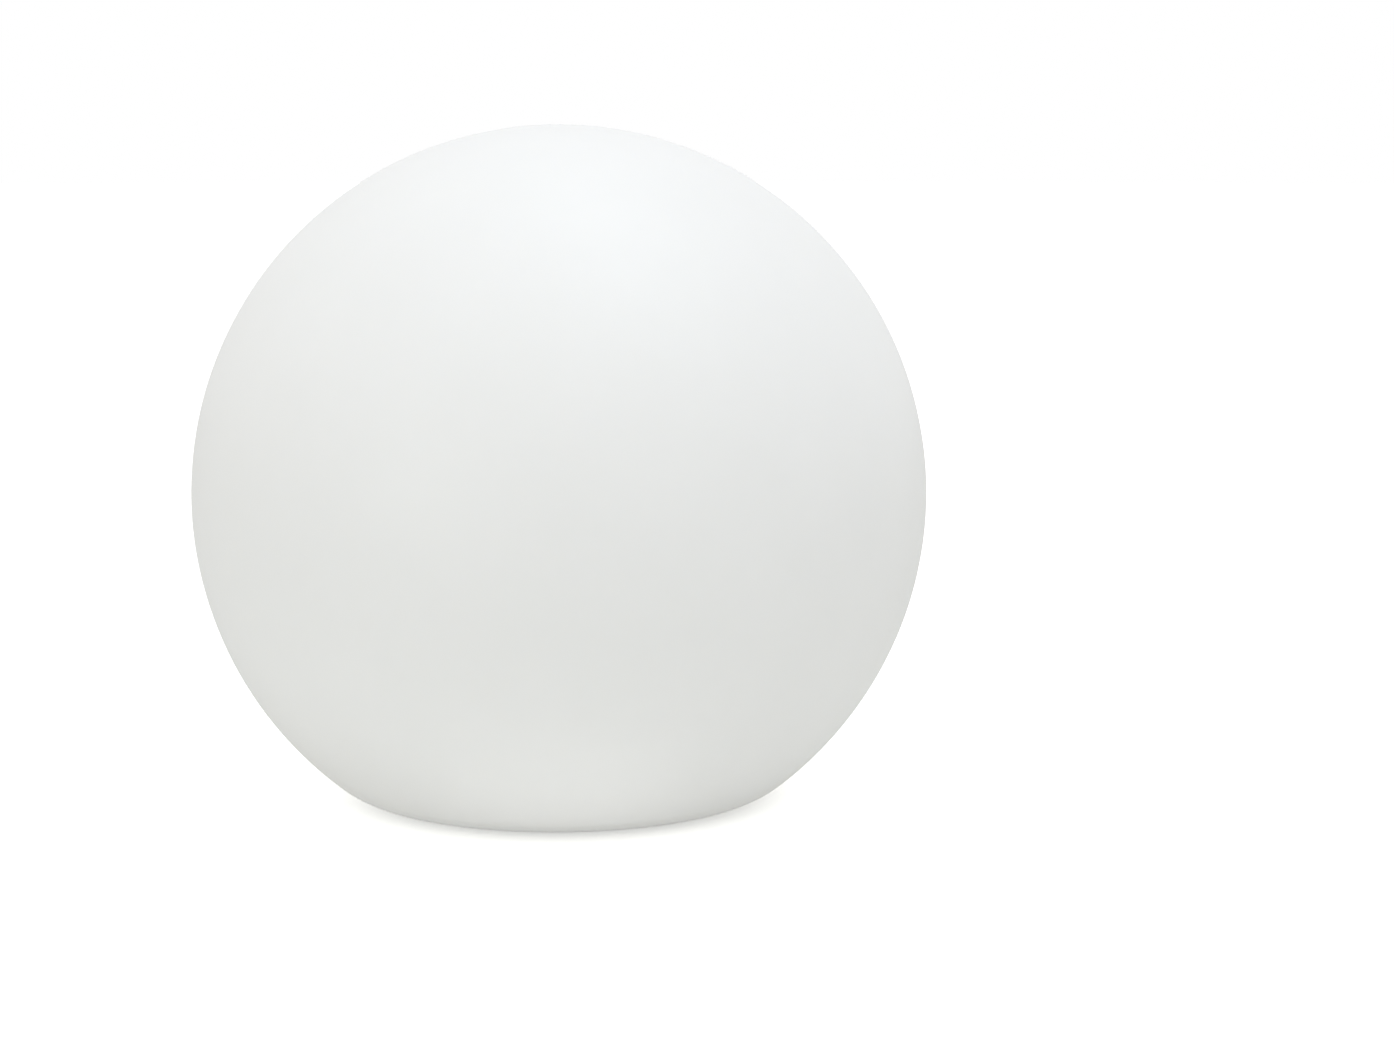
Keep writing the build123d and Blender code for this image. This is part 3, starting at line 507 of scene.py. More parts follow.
EPOXY = plastic("black_epoxy", (0.018, 0.018, 0.02), rough=(0.5, 0.68), grain_size=0.2, depth=0.015)
INK = plastic("pale_ink", (0.6, 0.6, 0.58), rough=(0.55, 0.7))
FERRITE = plastic("ferrite", (0.045, 0.043, 0.042), rough=(0.55, 0.8), grain_size=0.3, depth=0.04)
NYLON = plastic(
    "natural_nylon", (0.7, 0.68, 0.6), rough=(0.32, 0.46), Subsurface_Weight=0.1, Subsurface_Scale=0.5 * MM,
)
CAN = metal("cell_can", (0.62, 0.63, 0.64), rough=(0.22, 0.36), stretch=(1, 0.1, 1))
FILM = shrink_film()
PAPER = plastic("insulating_paper", (0.5, 0.52, 0.5), rough=(0.7, 0.85), grain_size=0.15)
FOAM = foam()
WIRE_RED = rubber("red_wire", (0.45, 0.012, 0.012), rough=(0.38, 0.52), depth=0.008)
WIRE_BLACK = rubber("black_wire", (0.012, 0.012, 0.013), rough=(0.38, 0.52), depth=0.008)
WIRE_WHITE = rubber("white_wire", (0.7, 0.7, 0.68), rough=(0.4, 0.55), depth=0.008)
WIRE_GREEN = rubber("green_wire", (0.02, 0.26, 0.05), rough=(0.38, 0.52), depth=0.008)
WIRE_BLUE = rubber("blue_wire", (0.015, 0.07, 0.4), rough=(0.38, 0.52), depth=0.008)
REFLECTOR = plastic("white_reflector", (0.84, 0.84, 0.83), rough=(0.24, 0.36), depth=0.01)
PHOSPHOR = surface(
    "phosphor_resin", (0.82, 0.56, 0.12), (0.88, 0.66, 0.2), (0.12, 0.25), 0.8, 0.4, 0.005,
    Subsurface_Weight=0.3, Subsurface_Radius=(1.0, 0.7, 0.2), Subsurface_Scale=0.6 * MM,
)
LIGHT_PIPE = surface(
    "milky_light_pipe", (0.8, 0.84, 0.85), (0.86, 0.88, 0.89), (0.12, 0.22), 2, 0.5, 0.005,
    Transmission_Weight=0.5, Subsurface_Weight=0.5, Subsurface_Radius=(1.0, 1.0, 1.0), Subsurface_Scale=MM,
)
SMOKE_RED = (0.08, 0.02, 0.03)
SMOKE = surface(
    "infrared_window", SMOKE_RED, shaded(SMOKE_RED, 0.97), (0.08, 0.16), 4, 1.5, 0.01,
    Transmission_Weight=0.95, IOR=1.49,
)
FROSTED = surface(
    "frosted_polycarbonate", (0.88, 0.89, 0.89), (0.92, 0.93, 0.93), (0.45, 0.6), 12, 0.3, 0.02,
    Transmission_Weight=0.45, Subsurface_Weight=0.4, Subsurface_Radius=(1.0, 1.0, 1.0),
    Subsurface_Scale=2 * MM, IOR=1.58,
)


def repaint(node, material):
    """Gives a CAD node that stays a finish of its own."""
    for place in frame["nodes"][node].material_slots:
        place.material = material


# ---- globe ----
SHELL_AT = spot("globe_shell")
GLOBE_RADIUS = round(SHELL_AT.half_x)
CENTRE_Z = SHELL_AT.high - GLOBE_RADIUS
SHELL_WALL = 3.5
FOOT_FILLET = 54
WELL_DEPTH = 22
WELL_RADIUS = 71
WELL_EDGE = 6
WELL_ROOT = 2
MOUTH_RADIUS = 57
FOOT_ROLL_X = math.sqrt((GLOBE_RADIUS - FOOT_FILLET) ** 2 - (CENTRE_Z - FOOT_FILLET) ** 2)
FOOT_ROLL_START = math.degrees(math.atan2(FOOT_FILLET - CENTRE_Z, FOOT_ROLL_X))
UNEVENNESS = 0.12
UNEVEN_SIZE = 55
SEAM_RADIUS = 0.6
SEAM_RISE = 0.1


def globe_side(offset, steps):
    """The shell's section from its crown down to the well's mouth, offset inwards from the outside."""
    points = bend(0, CENTRE_Z, GLOBE_RADIUS - offset, 90, FOOT_ROLL_START, steps)
    points[0] = (0.0, points[0][1])
    points += bend(FOOT_ROLL_X, FOOT_FILLET, FOOT_FILLET - offset, FOOT_ROLL_START, -90, steps // 5)[1:]
    points += bend(WELL_RADIUS + WELL_EDGE, WELL_EDGE, WELL_EDGE - offset, -90, -180, 10)
    points += bend(WELL_RADIUS - WELL_ROOT, WELL_DEPTH - WELL_ROOT, WELL_ROOT + offset, 0, 90, 6)
    points.append((MOUTH_RADIUS, WELL_DEPTH + offset))
    return points


def moulded(point):
    """Moves a point of the shell outwards by the moulding's slight unevenness, but not at the foot."""
    from_centre = point - Vector((0, 0, CENTRE_Z))
    fade = min(1.0, max(0.0, (point.z - FOOT_FILLET) / FOOT_FILLET))
    rise = noise.noise(point / UNEVEN_SIZE) * UNEVENNESS * fade
    return point + from_centre.normalized() * rise


def globe():
    """The hollow shell, with six bosses for the threaded inserts round the well's mouth."""
    bm = bmesh.new()
    add_lathe(bm, globe_side(0.0, 120) + globe_side(SHELL_WALL, 60)[::-1], 256)
    for vert in bm.verts:
        vert.co = moulded(vert.co)
    piece = finish_mesh(bm, "milky_globe", SHELL_PE)
    bosses, holes = bmesh.new(), bmesh.new()
    for at in solids("threaded_inserts"):
        radius = 2 * at.half_x
        low, high = WELL_DEPTH + 1.5, at.high + 3
        turned(bosses, plate(0, radius, low, high, (0, 0, 1, 0)), 32, at)
        section = [(0, WELL_DEPTH - 1), (at.half_x, WELL_DEPTH - 1), (at.half_x, at.high), (0, at.high + 0.5)]
        add_lathe(holes, section, 32, at.x, at.y)
    carve(piece, bosses, "UNION")
    carve(piece, holes)
    stand_for(piece, "globe_shell")


def parting_line():
    """The faint bead that the two halves of the mould leave over the shell."""
    bm = bmesh.new()
    shift = SEAM_RISE - SEAM_RADIUS
    half = bend(0, CENTRE_Z, GLOBE_RADIUS + shift, 90, FOOT_ROLL_START, 110)
    half += bend(FOOT_ROLL_X, FOOT_FILLET, FOOT_FILLET + shift, FOOT_ROLL_START, -80, 20)[1:]
    points = [Vector((-x, 0, z)) for x, z in half[::-1]] + [Vector((x, 0, z)) for x, z in half[1:]]
    add_tube(bm, [moulded(p) for p in points], SEAM_RADIUS, 8)
    detail(finish_mesh(bm, "globe_parting_line", SHELL_PE), "globe_shell")


def inserts():
    """Knurled brass inserts with a groove between two bands, and a real thread inside."""
    bm = bmesh.new()
    pitch, bore, groove = 0.7, 2.0, 0.45
    ridges, ridge_depth = 9, 0.22
    for at in solids("threaded_inserts"):
        def knurl(radius, height, turn):
            if radius < at.half_x * 0.85:
                return radius + 0.2 * ridge(height / pitch - turn / math.tau, 0.4, 0.3)
            place = (height - at.low) / (at.high - at.low)
            if not (0.08 < place < 0.42 or 0.56 < place < 0.92):
                return radius
            slant = (height - at.low) / at.half_x
            crossing = abs(math.sin(ridges * (turn + slant)) * math.sin(ridges * (turn - slant)))
            return radius - ridge_depth * (1 - crossing)

        steps = 34
        length = at.high - at.low
        outside = []
        for i in range(steps + 1):
            z = at.low + length * i / steps
            middle = 0.44 < i / steps < 0.54
            outside.append((at.half_x - (groove if middle else 0), z))
        inside = [(bore, at.high - length * i / 72) for i in range(73)]
        add_lathe(bm, outside + inside, 54, at.x, at.y, wave=knurl)
    stand_for(finish_mesh(bm, "knurled_inserts", BRASS), "threaded_inserts")


def ridge(phase, foot, top):
    """A thread's height from 0 to 1 over one pitch. foot and top are half widths, as shares of the pitch."""
    away = abs(phase - math.floor(phase) - 0.5)
    return min(1.0, max(0.0, (foot - away) / (foot - top)))


# ---- screws and washers ----
SCREW_FORMS = {
    # head height, shank radius and thread pitch in millimetres, and whether the head is on top
    "flange_screws": (2.6, 1.98, 0.7, False),
    "board_screws": (1.5, 1.25, 0.45, True),
    "clamp_screws": (1.8, 1.5, 0.5, True),
    "led_board_screws": (1.8, 1.5, 0.5, True),
    "dome_screws": (1.8, 1.5, 0.5, True),
}
GOLDEN_ANGLE = math.radians(137.5)
SCREW_HOLE = 2.25
DOME_SCREW_HOLE = 1.7


def one_screw(head_radius, head_height, shank_radius, length, pitch):
    """A pan head screw with a cross recess and a helical thread. Its seat is at 0 and its tip is up."""
    root = shank_radius - 0.6 * pitch
    thread_low, thread_high = 1.5 * pitch, length - 0.8 * pitch

    def thread(radius, height, turn):
        if not thread_low < height < thread_high or radius > shank_radius:
            return radius
        fade = min(1.0, (height - thread_low) / pitch, (thread_high - height) / pitch)
        rise = ridge(height / pitch - turn / math.tau, 0.48, 0.06)
        return radius + (shank_radius - root) * fade * rise

    outline = [(0, length), (0.8 * root, length), (root, thread_high)]
    rings = int((thread_high - thread_low) / pitch * 6)
    for i in range(rings + 1):
        outline.append((root, thread_high + (thread_low - thread_high) * i / rings))
    outline += [(0.95 * shank_radius, thread_low * 0.8), (0.95 * shank_radius, 0.2 * pitch)]
    outline += [(shank_radius * 1.08, 0), (head_radius - 0.1, 0)]
    for i in range(8):
        turn = math.radians(90 * i / 7)
        rise = 0.18 + 0.82 * math.sin(turn) ** 0.85
        outline.append((head_radius * max(0.0, math.cos(turn)) ** 0.55, -head_height * rise))
    outline[-1] = (0, -head_height)
    bm = bmesh.new()
    add_lathe(bm, outline, 24, wave=thread)
    piece = finish_mesh(bm, "one_screw", STEEL)
    tool = bmesh.new()
    rings = []
    for height, share in ((-head_height - 0.5, 1.1), (-0.4 * head_height, 0.62)):
        wide, slim = 0.62 * head_radius * share, 0.13 * head_radius * (0.4 + 0.6 * share)
        corners = []
        for quarter in range(4):
            spin = Matrix.Rotation(quarter * math.pi / 2, 3, "Z")
            for x, y in ((slim, slim), (slim, wide), (-slim, wide)):
                corners.append(spin @ Vector((x, y, 0)) + Vector((0, 0, height)))
        rings.append(corners)
    add_rings(tool, rings, closed=False)
    return carve(piece, tool)


def screws(node):
    """All the screws of one kind, each turned by a different amount."""
    head_height, shank_radius, pitch, head_up = SCREW_FORMS[node]
    spots = solids(node)
    length = spots[0].high - spots[0].low - head_height
    pattern = one_screw(spots[0].half_x, head_height, shank_radius, length, pitch)
    flip = Matrix.Rotation(math.pi, 4, "X") if head_up else Matrix.Identity(4)
    bm = bmesh.new()
    for i, at in enumerate(spots):
        part = bmesh.new()
        part.from_mesh(pattern.data)
        seat = at.high - head_height if head_up else at.low + head_height
        turn = Matrix.Rotation(i * GOLDEN_ANGLE, 4, "Z")
        merge(bm, part, Matrix.Translation((at.x, at.y, seat)) @ turn @ flip)
    bpy.data.objects.remove(pattern)
    stand_for(finish_mesh(bm, "threaded_" + node, STEEL), node)


def bonded_washers():
    """Steel washers with a rubber lip bonded inside them."""
    bm = bmesh.new()
    bore, bond, lip = 2.0, 3.1, 0.05
    for at in solids("screw_seal_washers"):
        turned(bm, plate(bond, at.half_x, at.low + lip, at.high - lip, (0, 0.15, 0.15, 0)), 48, at)
        turned(bm, plate(bore, bond, at.low, at.high, (0.2, 0.2, 0.2, 0.2)), 48, at, 1)
    stand_for(finish_mesh(bm, "bonded_washers", STEEL, SEAL), "screw_seal_washers")


def o_ring(node):
    """An O-ring of the size of its CAD node."""
    at = spot(node)
    minor = (at.high - at.low) / 2
    bm = bmesh.new()
    add_torus(bm, at.x, at.y, at.low + minor, at.half_x - minor, minor, 120, 18)
    stand_for(finish_mesh(bm, node + "_o_ring", SEAL), node)


def flange_gasket():
    """The flat silicone ring with two sealing beads on each side."""
    at = spot("flange_gasket")
    skin, bead = 0.2, 1.1
    inner, outer = MOUTH_RADIUS, at.half_x
    low, high = at.low, at.high
    section = [(inner, low + skin, 0.2)]
    for middle in (inner + 2.2, outer - 2.0):
        section += [(middle - bead, low + skin, 0.3), (middle, low, 0.6), (middle + bead, low + skin, 0.3)]
    section.append((outer, low + skin, 0.2))
    mirror = [(x, low + high - z, edge) for x, z, edge in section[::-1]]
    bm = bmesh.new()
    add_lathe(bm, soften(section + mirror, 3), 144)
    piece = finish_mesh(bm, "beaded_gasket", SILICONE)
    holes = bmesh.new()
    for hole in solids("threaded_inserts"):
        turned(holes, plate(0, SCREW_HOLE, low - 1, high + 1), 32, hole)
    stand_for(carve(piece, holes), "flange_gasket")


# ---- charging socket and cap ----
SOCKET_AT = spot("socket_body")
THREAD_PITCH = 2
THREAD_RISE = 0.3
CAP_THREAD_RISE = 0.35
SPIGOT_RADIUS = 10.5
SPIGOT_LENGTH = 8
CAP_BORE = 10.9
THREAD_STEP = 0.1
PORT_WIDTH, PORT_HEIGHT = 9.04, 3.34


def cap_thread(height, turn, low, high, run_out, shift=0.0):
    """The height from 0 to 1 of the thread that the spigot and the cap share. It fades at low and high."""
    fade = min(1.0, (height - low) / run_out, (high - height) / run_out)
    return fade * ridge(height / THREAD_PITCH - turn / math.tau + shift, 0.3, 0.18)


def socket_body():
    """The panel socket with the cap's thread on its spigot."""
    at = SOCKET_AT
    low = at.low
    flange_low = low + SPIGOT_LENGTH
    flange_high = flange_low + 2.5
    recess = low + 2
    barrel = 8
    thread_low, thread_high = low + 0.8, flange_low - 1.2

    def thread(radius, height, turn):
        if abs(radius - SPIGOT_RADIUS) > SAME or not thread_low < height < thread_high:
            return radius
        return radius + THREAD_RISE * cap_thread(height, turn, thread_low, thread_high, 0.6)

    mouth = 7.5
    outline = [(0, recess, 0), (mouth, recess, 0.3), (mouth, low, 0.4), (SPIGOT_RADIUS, low, 0.5)]
    steps = round((thread_high - thread_low) / THREAD_STEP) + 1
    outline += [(SPIGOT_RADIUS, thread_low + THREAD_STEP * i, 0) for i in range(steps)]
    outline += [
        (SPIGOT_RADIUS, flange_low, 0.2),
        (at.half_x, flange_low, 0.4),
        (at.half_x, flange_high, 0.2),
        (barrel, flange_high, 0),
        (barrel, at.high, 0.4),
        (0, at.high, 0),
    ]
    bm = bmesh.new()
    turned(bm, outline, 96, at, wave=thread)
    piece = finish_mesh(bm, "threaded_socket", DARK)
    tool = bmesh.new()
    place = Matrix.Translation((at.x, 0, 0))
    add_prism(tool, oval(PORT_WIDTH, PORT_HEIGHT), low - 1, at.high + 1, place=place)
    stand_for(carve(piece, tool), "socket_body")


def socket_gasket():
    """The soft ring between the socket's flange and the housing."""
    at = spot("socket_gasket")
    bm = bmesh.new()
    turned(bm, plate(8.2, at.half_x, at.low, at.high, (0.3, 0.3, 0.3, 0.3)), 72, at)
    stand_for(finish_mesh(bm, "soft_socket_gasket", SILICONE), "socket_gasket")


def usb_shell():
    """The drawn steel sleeve with a rolled mouth."""
    at = spot("usb_shell")
    wall = 0.3
    bm = bmesh.new()
    width, height = 2 * at.half_y, 2 * at.half_x
    rings = []
    sections = ((0.0, 0.0), (0.12, 0.0), (1.0, 0.0), (1.0, -wall), (0.1, -wall), (0.02, -wall * 0.6))
    for share, inset in sections:
        z = at.low + (at.high - at.low) * share
        rings.append([Vector((at.x + x, y, z)) for x, y in oval(width + 2 * inset, height + 2 * inset, 14)])
    add_rings(bm, rings)
    stand_for(finish_mesh(bm, "usb_sleeve", NICKEL), "usb_shell")


def usb_tongue():
    """The black contact tongue with twelve gold contacts on each face, and its holder."""
    at = spot("usb_tongue")
    bm = bmesh.new()
    holder_low = at.high - 8.5
    tongue_half = 0.35
    add_block(bm, at.x, at.y, at.low, holder_low + 0.2, 2 * tongue_half, 6.7, 0.12)
    place = Matrix.Translation((at.x, at.y, 0))
    add_prism(bm, oval(2 * at.half_y, 2 * at.half_x), holder_low, at.high, 0.1, place)
    for side in (-1, 1):
        for i in range(12):
            y = at.y + (i - 5.5) * 0.5
            add_block(bm, at.x + side * tongue_half, y, at.low + 0.6, holder_low, 0.06, 0.26, paint=1)
    stand_for(finish_mesh(bm, "usb_contacts", DARK, GOLD), "usb_tongue")


def socket_nut():
    """The chamfered hexagon nut."""
    at = spot("socket_nut")
    across = min(at.half_x, at.half_y)
    bore = 8.05
    sector = math.pi / 3
    first_flat = 0.0 if at.half_x < at.half_y else sector / 2

    def hexagon(radius, height, turn):
        if radius < across * 0.9:
            return radius + 0.25 * ridge(height - turn / math.tau, 0.4, 0.1)
        away = (turn + sector / 2 + first_flat) % sector - sector / 2
        return min(across / math.cos(away), radius)

    corner = across / math.cos(math.pi / 6)
    height = at.high - at.low
    outside = [(bore + 0.4, at.low), (across, at.low), (corner, at.low + 0.7), (corner, at.high - 0.7)]
    outside += [(across, at.high), (bore + 0.4, at.high)]
    inside = [(bore, at.high - height * (i + 1) / 33) for i in range(32)]
    bm = bmesh.new()
    add_lathe(bm, outside + inside, 144, at.x, at.y, wave=hexagon)
    stand_for(finish_mesh(bm, "hexagon_nut", DARK, sharp=20), "socket_nut")


def socket_board():
    """The socket's small board with its two solder pads and a resistor."""
    at = spot("socket_board")
    bm = bmesh.new()
    turned(bm, plate(0, at.half_x, at.low, at.high, (0, 0.1, 0.1, 0)), 64, at)
    for y in (-3, 3):
        add_lathe(bm, solder_cone(at.high, 1.5, 0.8), 24, at.x, y, 1)
    for x, y in ((-3.5, 0), (3.2, 1.5), (3.2, -1.5)):
        add_chip_resistor(bm, at.x + x, y, at.high, 0.0)
    stand_for(finish_mesh(bm, "populated_socket_board", MASK, SOLDER, EPOXY), "socket_board")


def solder_cone(z, radius, height):
    """The section of a concave blob of solder that stands on height z."""
    points = [(0, z - 0.02)]
    for i in range(6):
        share = i / 5
        points.append((radius * (1 - 0.75 * share), z + height * share**2))
    points.append((0, z + height * 1.05))
    return points


def add_chip_resistor(bm, x, y, z, turn, length=2.0):
    """A small surface-mounted resistor. Its ends are paint 1 and its middle is paint 2."""
    width, height = 0.6 * length, 0.3 * length
    add_block(bm, x, y, z, z + height * 0.96, length * 0.7, width * 0.96, turn=turn, paint=2)
    for side in (-1, 1):
        end = polar(side * length * 0.39, turn, x, y)
        add_block(bm, *end, z, z + height, length * 0.22, width, 0.05, turn, 1)


def charge_leads():
    """The red and the black lead from the socket's board to the control board."""
    at = spot("charge_leads")
    bm = bmesh.new()
    wire = 0.8
    board = spot("control_board")
    start_z = spot("socket_board").high
    for side in (-1, 1):
        y = side * (at.half_y - wire)
        route = [
            (SOCKET_AT.x, y, start_z),
            (SOCKET_AT.x, y, at.high - 2.2),
            (SOCKET_AT.x - 3, y, at.high - 0.8),
            (board.x + board.half_x + 2, y * 1.1, at.high - 0.8),
            (at.x - at.half_x + wire, y, at.high - 0.9),
            (at.x - at.half_x + wire, y, board.high),
        ]
        add_tube(bm, smooth_route(route), wire, 16, paint=0 if side > 0 else 1)
    stand_for(finish_mesh(bm, "charge_wires", WIRE_RED, WIRE_BLACK), "charge_leads")


BOLT = ((0.5, 3.4), (-1.9, -0.4), (-0.25, -0.4), (-0.7, -3.4), (1.9, 0.6), (0.25, 0.6))


def charge_cap():
    """The lobed cap with a thread in its bore, and a raised bolt in the dish of its face."""
    at = spot("charge_cap")
    low, high = at.low, at.high
    roof = low + 1.8
    seat = high - 1.3
    seat_radius = 13.2
    lobes, lobe_depth, lobe_reach = 12, 1.1, 3.4
    grip_high = high - 2
    dish = 0.45
    thread_low, thread_high = roof + 0.6, seat - 0.5

    def form(radius, height, turn):
        inwards = (at.half_x - radius) / lobe_reach
        if inwards < 1 and height < grip_high + 0.1:
            fade = min(1.0, (grip_high + 0.1 - height) / 0.9) * (1 - inwards**2)
            return radius - lobe_depth * fade * max(0.0, 0.25 + 0.75 * math.cos(lobes * turn)) ** 1.3
        if abs(radius - CAP_BORE) < SAME and thread_low < height < thread_high:
            return radius - CAP_THREAD_RISE * cap_thread(height, turn, thread_low, thread_high, 0.5, 0.5)
        return radius

    outline = [(0, low + dish, 0), (9.2, low + dish, 0.5), (9.9, low, 0.5)]
    outline.append((at.half_x, low, 1.3))
    outline += [(at.half_x, low + 1.4 + 0.4 * i, 0) for i in range(17)]
    outline += [(at.half_x, high, 0.4), (seat_radius, high, 0.15), (seat_radius, seat, 0)]
    outline.append((CAP_BORE, seat, 0.2))
    steps = int((thread_high - thread_low) / THREAD_STEP) + 1
    outline += [(CAP_BORE, thread_high - THREAD_STEP * i, 0) for i in range(steps)]
    outline += [(CAP_BORE, roof, 0.3), (0, roof, 0)]
    bm = bmesh.new()
    turned(bm, outline, 144, at, rounds=6, wave=form)
    stand_for(finish_mesh(bm, "lobed_cap", CAP), "charge_cap")
    bm = bmesh.new()
    place = Matrix.Translation((at.x, at.y, 0))
    add_prism(bm, BOLT, low + 0.1, low + dish + 0.1, 0.1, place)
    detail(finish_mesh(bm, "cap_bolt_mark", BUTTON_MARK), "charge_cap")


# ---- push button ----
BUTTON_AT = spot("power_button")


def arc_band(radius, width, start, end, steps=36):
    """The (x, y) corners of a band along an arc with round ends. Angles are in degrees."""
    half = width / 2
    corners = []
    for reach, first, last in ((radius + half, start, end), (radius - half, end, start)):
        corners += bend(0, 0, reach, first, last, steps)
        middle = polar(radius, math.radians(last))
        outwards = last if last == end else last + 180
        corners += bend(*middle, half, outwards, outwards + 180, 6)[1:-1]
    return corners


def add_power_symbol(bm, x, y, size, low, high):
    """The usual standby mark, an open ring with a bar, which stands upright in a view from below."""
    place = Matrix.Translation((x, y, 0))
    width, edge = 0.26 * size, 0.04 * size
    add_prism(bm, arc_band(size, width, -55, 235), low, high, edge, place)
    stroke = [(px, py - 0.75 * size) for px, py in oval(1.15 * size, width, 8)]
    add_prism(bm, stroke, low, high, edge, place)


def button_bezel():
    """The guard ring round the button."""
    at = spot("button_bezel")
    bm = bmesh.new()
    turned(bm, plate(8.2, at.half_x, at.low, at.high, (0.4, 1.6, 0.15, 0)), 96, at, rounds=6)
    stand_for(finish_mesh(bm, "rounded_bezel", DARK), "button_bezel")


def crowned(at, crown, steps):
    """The section of a face that bulges down by crown, from its middle to its rim."""
    points = []
    for i in range(steps + 1):
        turn = math.radians(90 * i / steps)
        points.append((at.half_x * math.sin(turn), at.low + crown * (1 - math.cos(turn)), 0))
    return points


def power_button():
    """The crowned button with its stem, and the standby mark on its face."""
    at = BUTTON_AT
    crown = 1.8
    face_high = at.low + 3
    stem = 3
    groove = spot("button_clip")
    outline = crowned(at, crown, 12)
    outline += [
        (at.half_x, face_high, 0.3),
        (stem, face_high, 0.2),
        (stem, groove.low, 0),
        (2.4, groove.low, 0),
        (2.4, groove.high, 0),
        (stem, groove.high, 0),
        (stem, at.high, 0.5),
        (0, at.high, 0),
    ]
    bm = bmesh.new()
    turned(bm, outline, 96, at)
    stand_for(finish_mesh(bm, "crowned_button", BUTTON), "power_button")
    bm = bmesh.new()
    add_power_symbol(bm, at.x, at.y, 2.7, at.low - 0.05, at.low + 0.6)
    detail(finish_mesh(bm, "standby_mark", BUTTON_MARK), "power_button")


def button_spring():
    """The return spring, wound from round wire with closed ends."""
    at = spot("button_spring")
    wire = 0.3
    coil = at.half_x - wire
    turns = 4.2
    steps = int(turns * 32)
    points = []
    for i in range(steps + 1):
        share = i / steps
        rise = min(1.0, max(0.0, (share - 0.16) / 0.68))
        turn = math.tau * turns * share
        z = at.low + wire + (at.high - at.low - 2 * wire) * rise
        points.append(Vector((*polar(coil, turn, at.x, at.y), z)))
    bm = bmesh.new()
    add_tube(bm, points, wire * 0.95, 12)
    spring = finish_mesh(bm, "coil_spring", SPRING)
    stand_for(spring, "button_spring")
    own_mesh(spring)


def button_clip():
    """The E-shaped clip with three lugs in the stem's groove."""
    at = spot("button_clip")
    gap = 22
    outline = bend(0, 0, at.half_y, gap - 180, 180 - gap, 72)
    for i in range(73):
        angle = 180 - gap - (360 - 2 * gap) * i / 72
        lug = max(ridge(angle / 360 + 0.5, 0.06, 0.03), ridge((abs(angle) - 125) / 360 + 0.5, 0.06, 0.03))
        outline.append(polar(3.6 - 1.15 * lug, math.radians(angle)))
    bm = bmesh.new()
    add_prism(bm, outline, at.low, at.high, 0.08, Matrix.Translation((BUTTON_AT.x, BUTTON_AT.y, 0)))
    stand_for(finish_mesh(bm, "stem_e_clip", SPRING), "button_clip")


def add_holed_block(bm, x, y, low, high, width, depth, hole, paint=0):
    """An upright box with a round hole through its middle."""
    outer, inner = [], []
    for i in range(64):
        turn = math.tau * (i + 0.5) / 64
        reach = min(width / 2 / abs(math.cos(turn)), depth / 2 / abs(math.sin(turn)))
        outer.append(polar(reach, turn, x, y))
        inner.append(polar(hole, turn, x, y))
    add_rings(bm, raised((outer, low), (outer, high), (inner, high), (inner, low)), paint)


def switch_parts():
    """The sealed switch: a black body, a steel cover with four rivets, legs, and the domed plunger."""
    at = spot("switch_body")
    cover = 0.3
    roof = at.high - 0.8
    hole = 1.9
    bm = bmesh.new()
    side = 2 * at.half_x
    add_holed_block(bm, at.x, at.y, at.low + cover, roof, side - 0.1, side - 0.1, hole)
    add_block(bm, at.x, at.y, roof, at.high, side - 0.1, side - 0.1, 0.1)
    add_holed_block(bm, at.x, at.y, at.low, at.low + cover, side - 0.5, side - 0.5, hole + 0.05, 1)
    rivet = [(0, at.low + 0.1), (0.45, at.low + 0.1), (0.4, at.low - 0.08), (0, at.low - 0.14)]
    for dx, dy in ((-1, -1), (-1, 1), (1, -1), (1, 1)):
        add_lathe(bm, rivet, 16, at.x + dx * 2.35, at.y + dy * 2.35)
        add_block(bm, at.x + dx * at.half_x, at.y + dy * 2.2, roof - 1.2, at.high, 0.25, 0.7, paint=1)
    stand_for(finish_mesh(bm, "sealed_switch", EPOXY, NICKEL), "switch_body")
    at = spot("switch_plunger")
    bm = bmesh.new()
    turned(bm, plate(0, at.half_x, at.low, at.high, (0, 0.7, 0.1, 0)), 36, at, rounds=6)
    stand_for(finish_mesh(bm, "domed_plunger", INK), "switch_plunger")


# ---- status light and the marks on the underside ----
def status_light():
    """The clear pin with a domed head, and the small light above it."""
    at = spot("status_lens")
    head_high = at.low + 1
    stem = 1.6
    outline = crowned(at, 0.8, 8)
    outline += [(at.half_x, head_high, 0.05), (stem, head_high, 0), (stem, at.high, 0.3), (0, at.high, 0)]
    bm = bmesh.new()
    turned(bm, outline, 48, at)
    stand_for(finish_mesh(bm, "clear_pin", LIGHT_PIPE), "status_lens")
    at = spot("status_led")
    bm = bmesh.new()
    add_block(bm, at.x, at.y, at.low + 0.4, at.high, 2 * at.half_x - 0.6, 2 * at.half_y, 0.05)
    add_block(bm, at.x, at.y, at.low, at.low + 0.5, 1.9, 1.3, 0.2, paint=1, steps=3)
    for side in (-1, 1):
        x = at.x + side * (at.half_x - 0.2)
        add_block(bm, x, at.y, at.low + 0.55, at.high, 0.4, 2 * at.half_y, 0.04, paint=2)
    stand_for(finish_mesh(bm, "status_light_chip", REFLECTOR, PHOSPHOR, SOLDER), "status_led")


